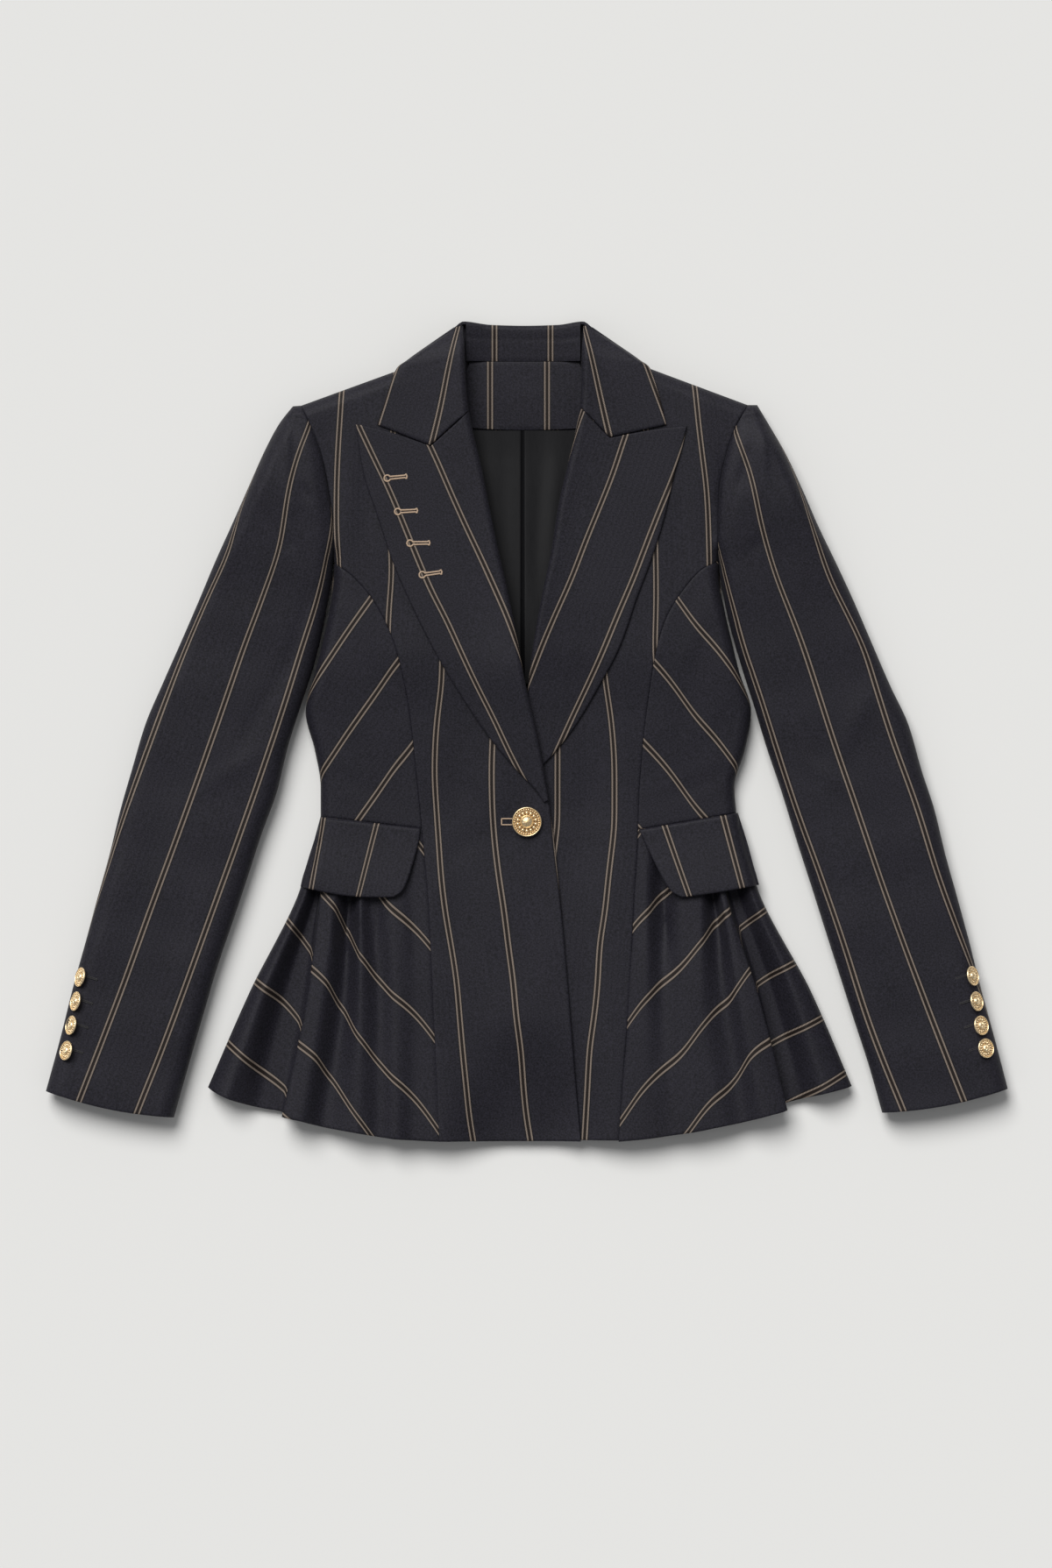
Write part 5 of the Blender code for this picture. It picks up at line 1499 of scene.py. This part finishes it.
def keyhole(length, eye, bar, tail):
    # outline of a keyhole: a round eye, a narrow bar that widens to its end
    angle = np.linspace(0.45, 2 * math.pi - 0.45, 22)
    ring = np.stack((eye * np.cos(angle), eye * np.sin(angle)), -1)
    low = np.array(((length - tail, -bar), (length - 0.6, -tail), (length, 0)))
    high = low[1::-1] * (1, -1)
    points = np.concatenate((ring, low, high, ring[:1]))
    fine = [a + (b - a) * t for a, b in zip(points, points[1:]) for t in np.linspace(0, 1, 5)[:-1]]
    return np.array([*fine, points[0]])


def lapelHeightAt(x, y):
    # top of the right lapel, at a place counted outward
    rows = lapels["right"]
    knot, shares, inner, outer, _ = strip(rows, (), (), lapelValues["step"])
    middle = 0.5 * (inner + outer)[:, 1]
    row = int(np.argmin(np.abs(middle - y)))
    radius = float(smooth(knot, rows["roll"], shares[row]))
    distance = float(np.linalg.norm(np.array((x, y)) - inner[row]))
    return float(lapelFace("right", x, y, distance, radius))


def turnedBy(outline, degrees):
    turn = math.radians(degrees)
    return outline @ np.array(((math.cos(turn), math.sin(turn)), (-math.sin(turn), math.cos(turn))))


def makeLapelButtonholes():
    v = buttonholeValues
    paths = []
    for x, y, slope in v["eyes"]:
        spot = turnedBy(keyhole(*v["lapel"]), slope) + np.array((-x, y))
        paths.append([(px, py, lapelHeightAt(-px, py) + v["lift"]) for px, py in spot])
    stitch("lapelButtonholes", paths, v["spacing"], v["stitch"], beigeThread)


def makeFrontButtonhole():
    v = buttonholeValues
    path = []
    for (ax, ay), (bx, by) in zip(v["front"], v["front"][1:]):
        for t in np.linspace(0, 1, 16)[:-1]:
            x, y = ax + (bx - ax) * t, ay + (by - ay) * t
            path.append((x, y, float(frontFace("right", -x, y)) + v["frontLift"]))
    stitch("frontButtonhole", [path], v["frontSpacing"], v["frontStitch"], beigeThread)


def makeCuffButtonholes():
    # each runs from under its button toward the middle of the sleeve
    v = buttonholeValues
    outline = turnedBy(keyhole(*v["cuff"]), v["cuffTurn"])
    paths = []
    for side in sign:
        rows = buttonValues["rows"][side]
        for y, lean in zip(rows["y"], rows["turn"]):
            place, _ = cuffButtonPlace(side, y, lean, lean)
            spot = outline + (abs(place[0]) + v["cuffMove"][0], y + v["cuffMove"][1])
            edgeX, rise, run = outerRoll(side, spot[:, 1])
            past = np.clip(1 - (edgeX - spot[:, 0]) / run, 0, 1)
            height = sleeveValues["seam"] + rise * np.sqrt(1 - past**2) + v["cuffLift"]
            paths.append(np.stack((sign[side] * spot[:, 0], spot[:, 1], height), -1))
    stitch("cuffButtonholes", paths, v["spacing"], v["cuffStitch"], darkThread)


makeLapelButtonholes()
makeFrontButtonhole()
makeCuffButtonholes()
print("buttonholes ready")


# floor, light and camera
studio = {
    "floor": (0.80, 0.80, 0.79),
    "floorCloud": (0.775, 0.777, 0.77),
    "floorHalf": 2.6,          # m
    "floorTop": -0.0006,
    "photo": (1200, 1789),     # size of the photograph in pixels
    "pixel": 0.73,             # mm of the garment's plane in one of them
    "middle": (-0.7, -44.0),   # what the camera looks at, mm
    "plane": 20.0,
    "distance": 6000.0,
    "sky": 0.27,
    "skyColour": (0.985, 0.99, 1.0),
    "key": 2.93,
    "keyColour": (1.0, 0.992, 0.975),
    "softness": 36.0,          # degrees across
    "from": (-0.34, 0.76, 1.0),
}


def makeStudio():
    v = studio
    mesh = bpy.data.meshes.new("floor")
    half, top = v["floorHalf"], v["floorTop"]
    corners = [(-half, -half, top), (half, -half, top), (half, half, top), (-half, half, top)]
    mesh.from_pydata(corners, [], [range(4)])
    floor = bpy.data.objects.new("floor", mesh)
    bpy.context.collection.objects.link(floor)
    paper = Finish("palePaper", Roughness=0.9, Specular_IOR_Level=0.2)
    cloudy = paper.noise(1.3, 2.0, paper.place())
    mesh.materials.append(paper.surface(paper.mix(cloudy * 0.25, v["floor"], v["floorCloud"])))
    world = bpy.data.worlds.new("studio")
    world.use_nodes = True
    background = world.node_tree.nodes["Background"].inputs
    background["Color"].default_value = (*v["skyColour"], 1)
    background["Strength"].default_value = v["sky"]
    bpy.context.scene.world = world
    key = bpy.data.lights.new("window", "SUN")
    key.energy = v["key"]
    key.angle = math.radians(v["softness"])
    key.color = v["keyColour"]
    lamp = bpy.data.objects.new("window", key)
    lamp.rotation_euler = (-Vector(v["from"])).to_track_quat("-Z", "Y").to_euler()
    bpy.context.collection.objects.link(lamp)
    camera = bpy.data.cameras.new("camera")
    camera.sensor_fit = "VERTICAL"
    camera.sensor_height = 36.0
    camera.lens = 36.0 * (v["distance"] - v["plane"]) / (v["photo"][1] * v["pixel"])
    camera.clip_end = 50
    eye = bpy.data.objects.new("camera", camera)
    eye.location = (v["middle"][0] * mm, v["middle"][1] * mm, v["distance"] * mm)
    bpy.context.collection.objects.link(eye)
    bpy.context.scene.camera = eye
    bpy.context.scene.view_settings.view_transform = "Standard"


makeStudio()
print("blazer ready")
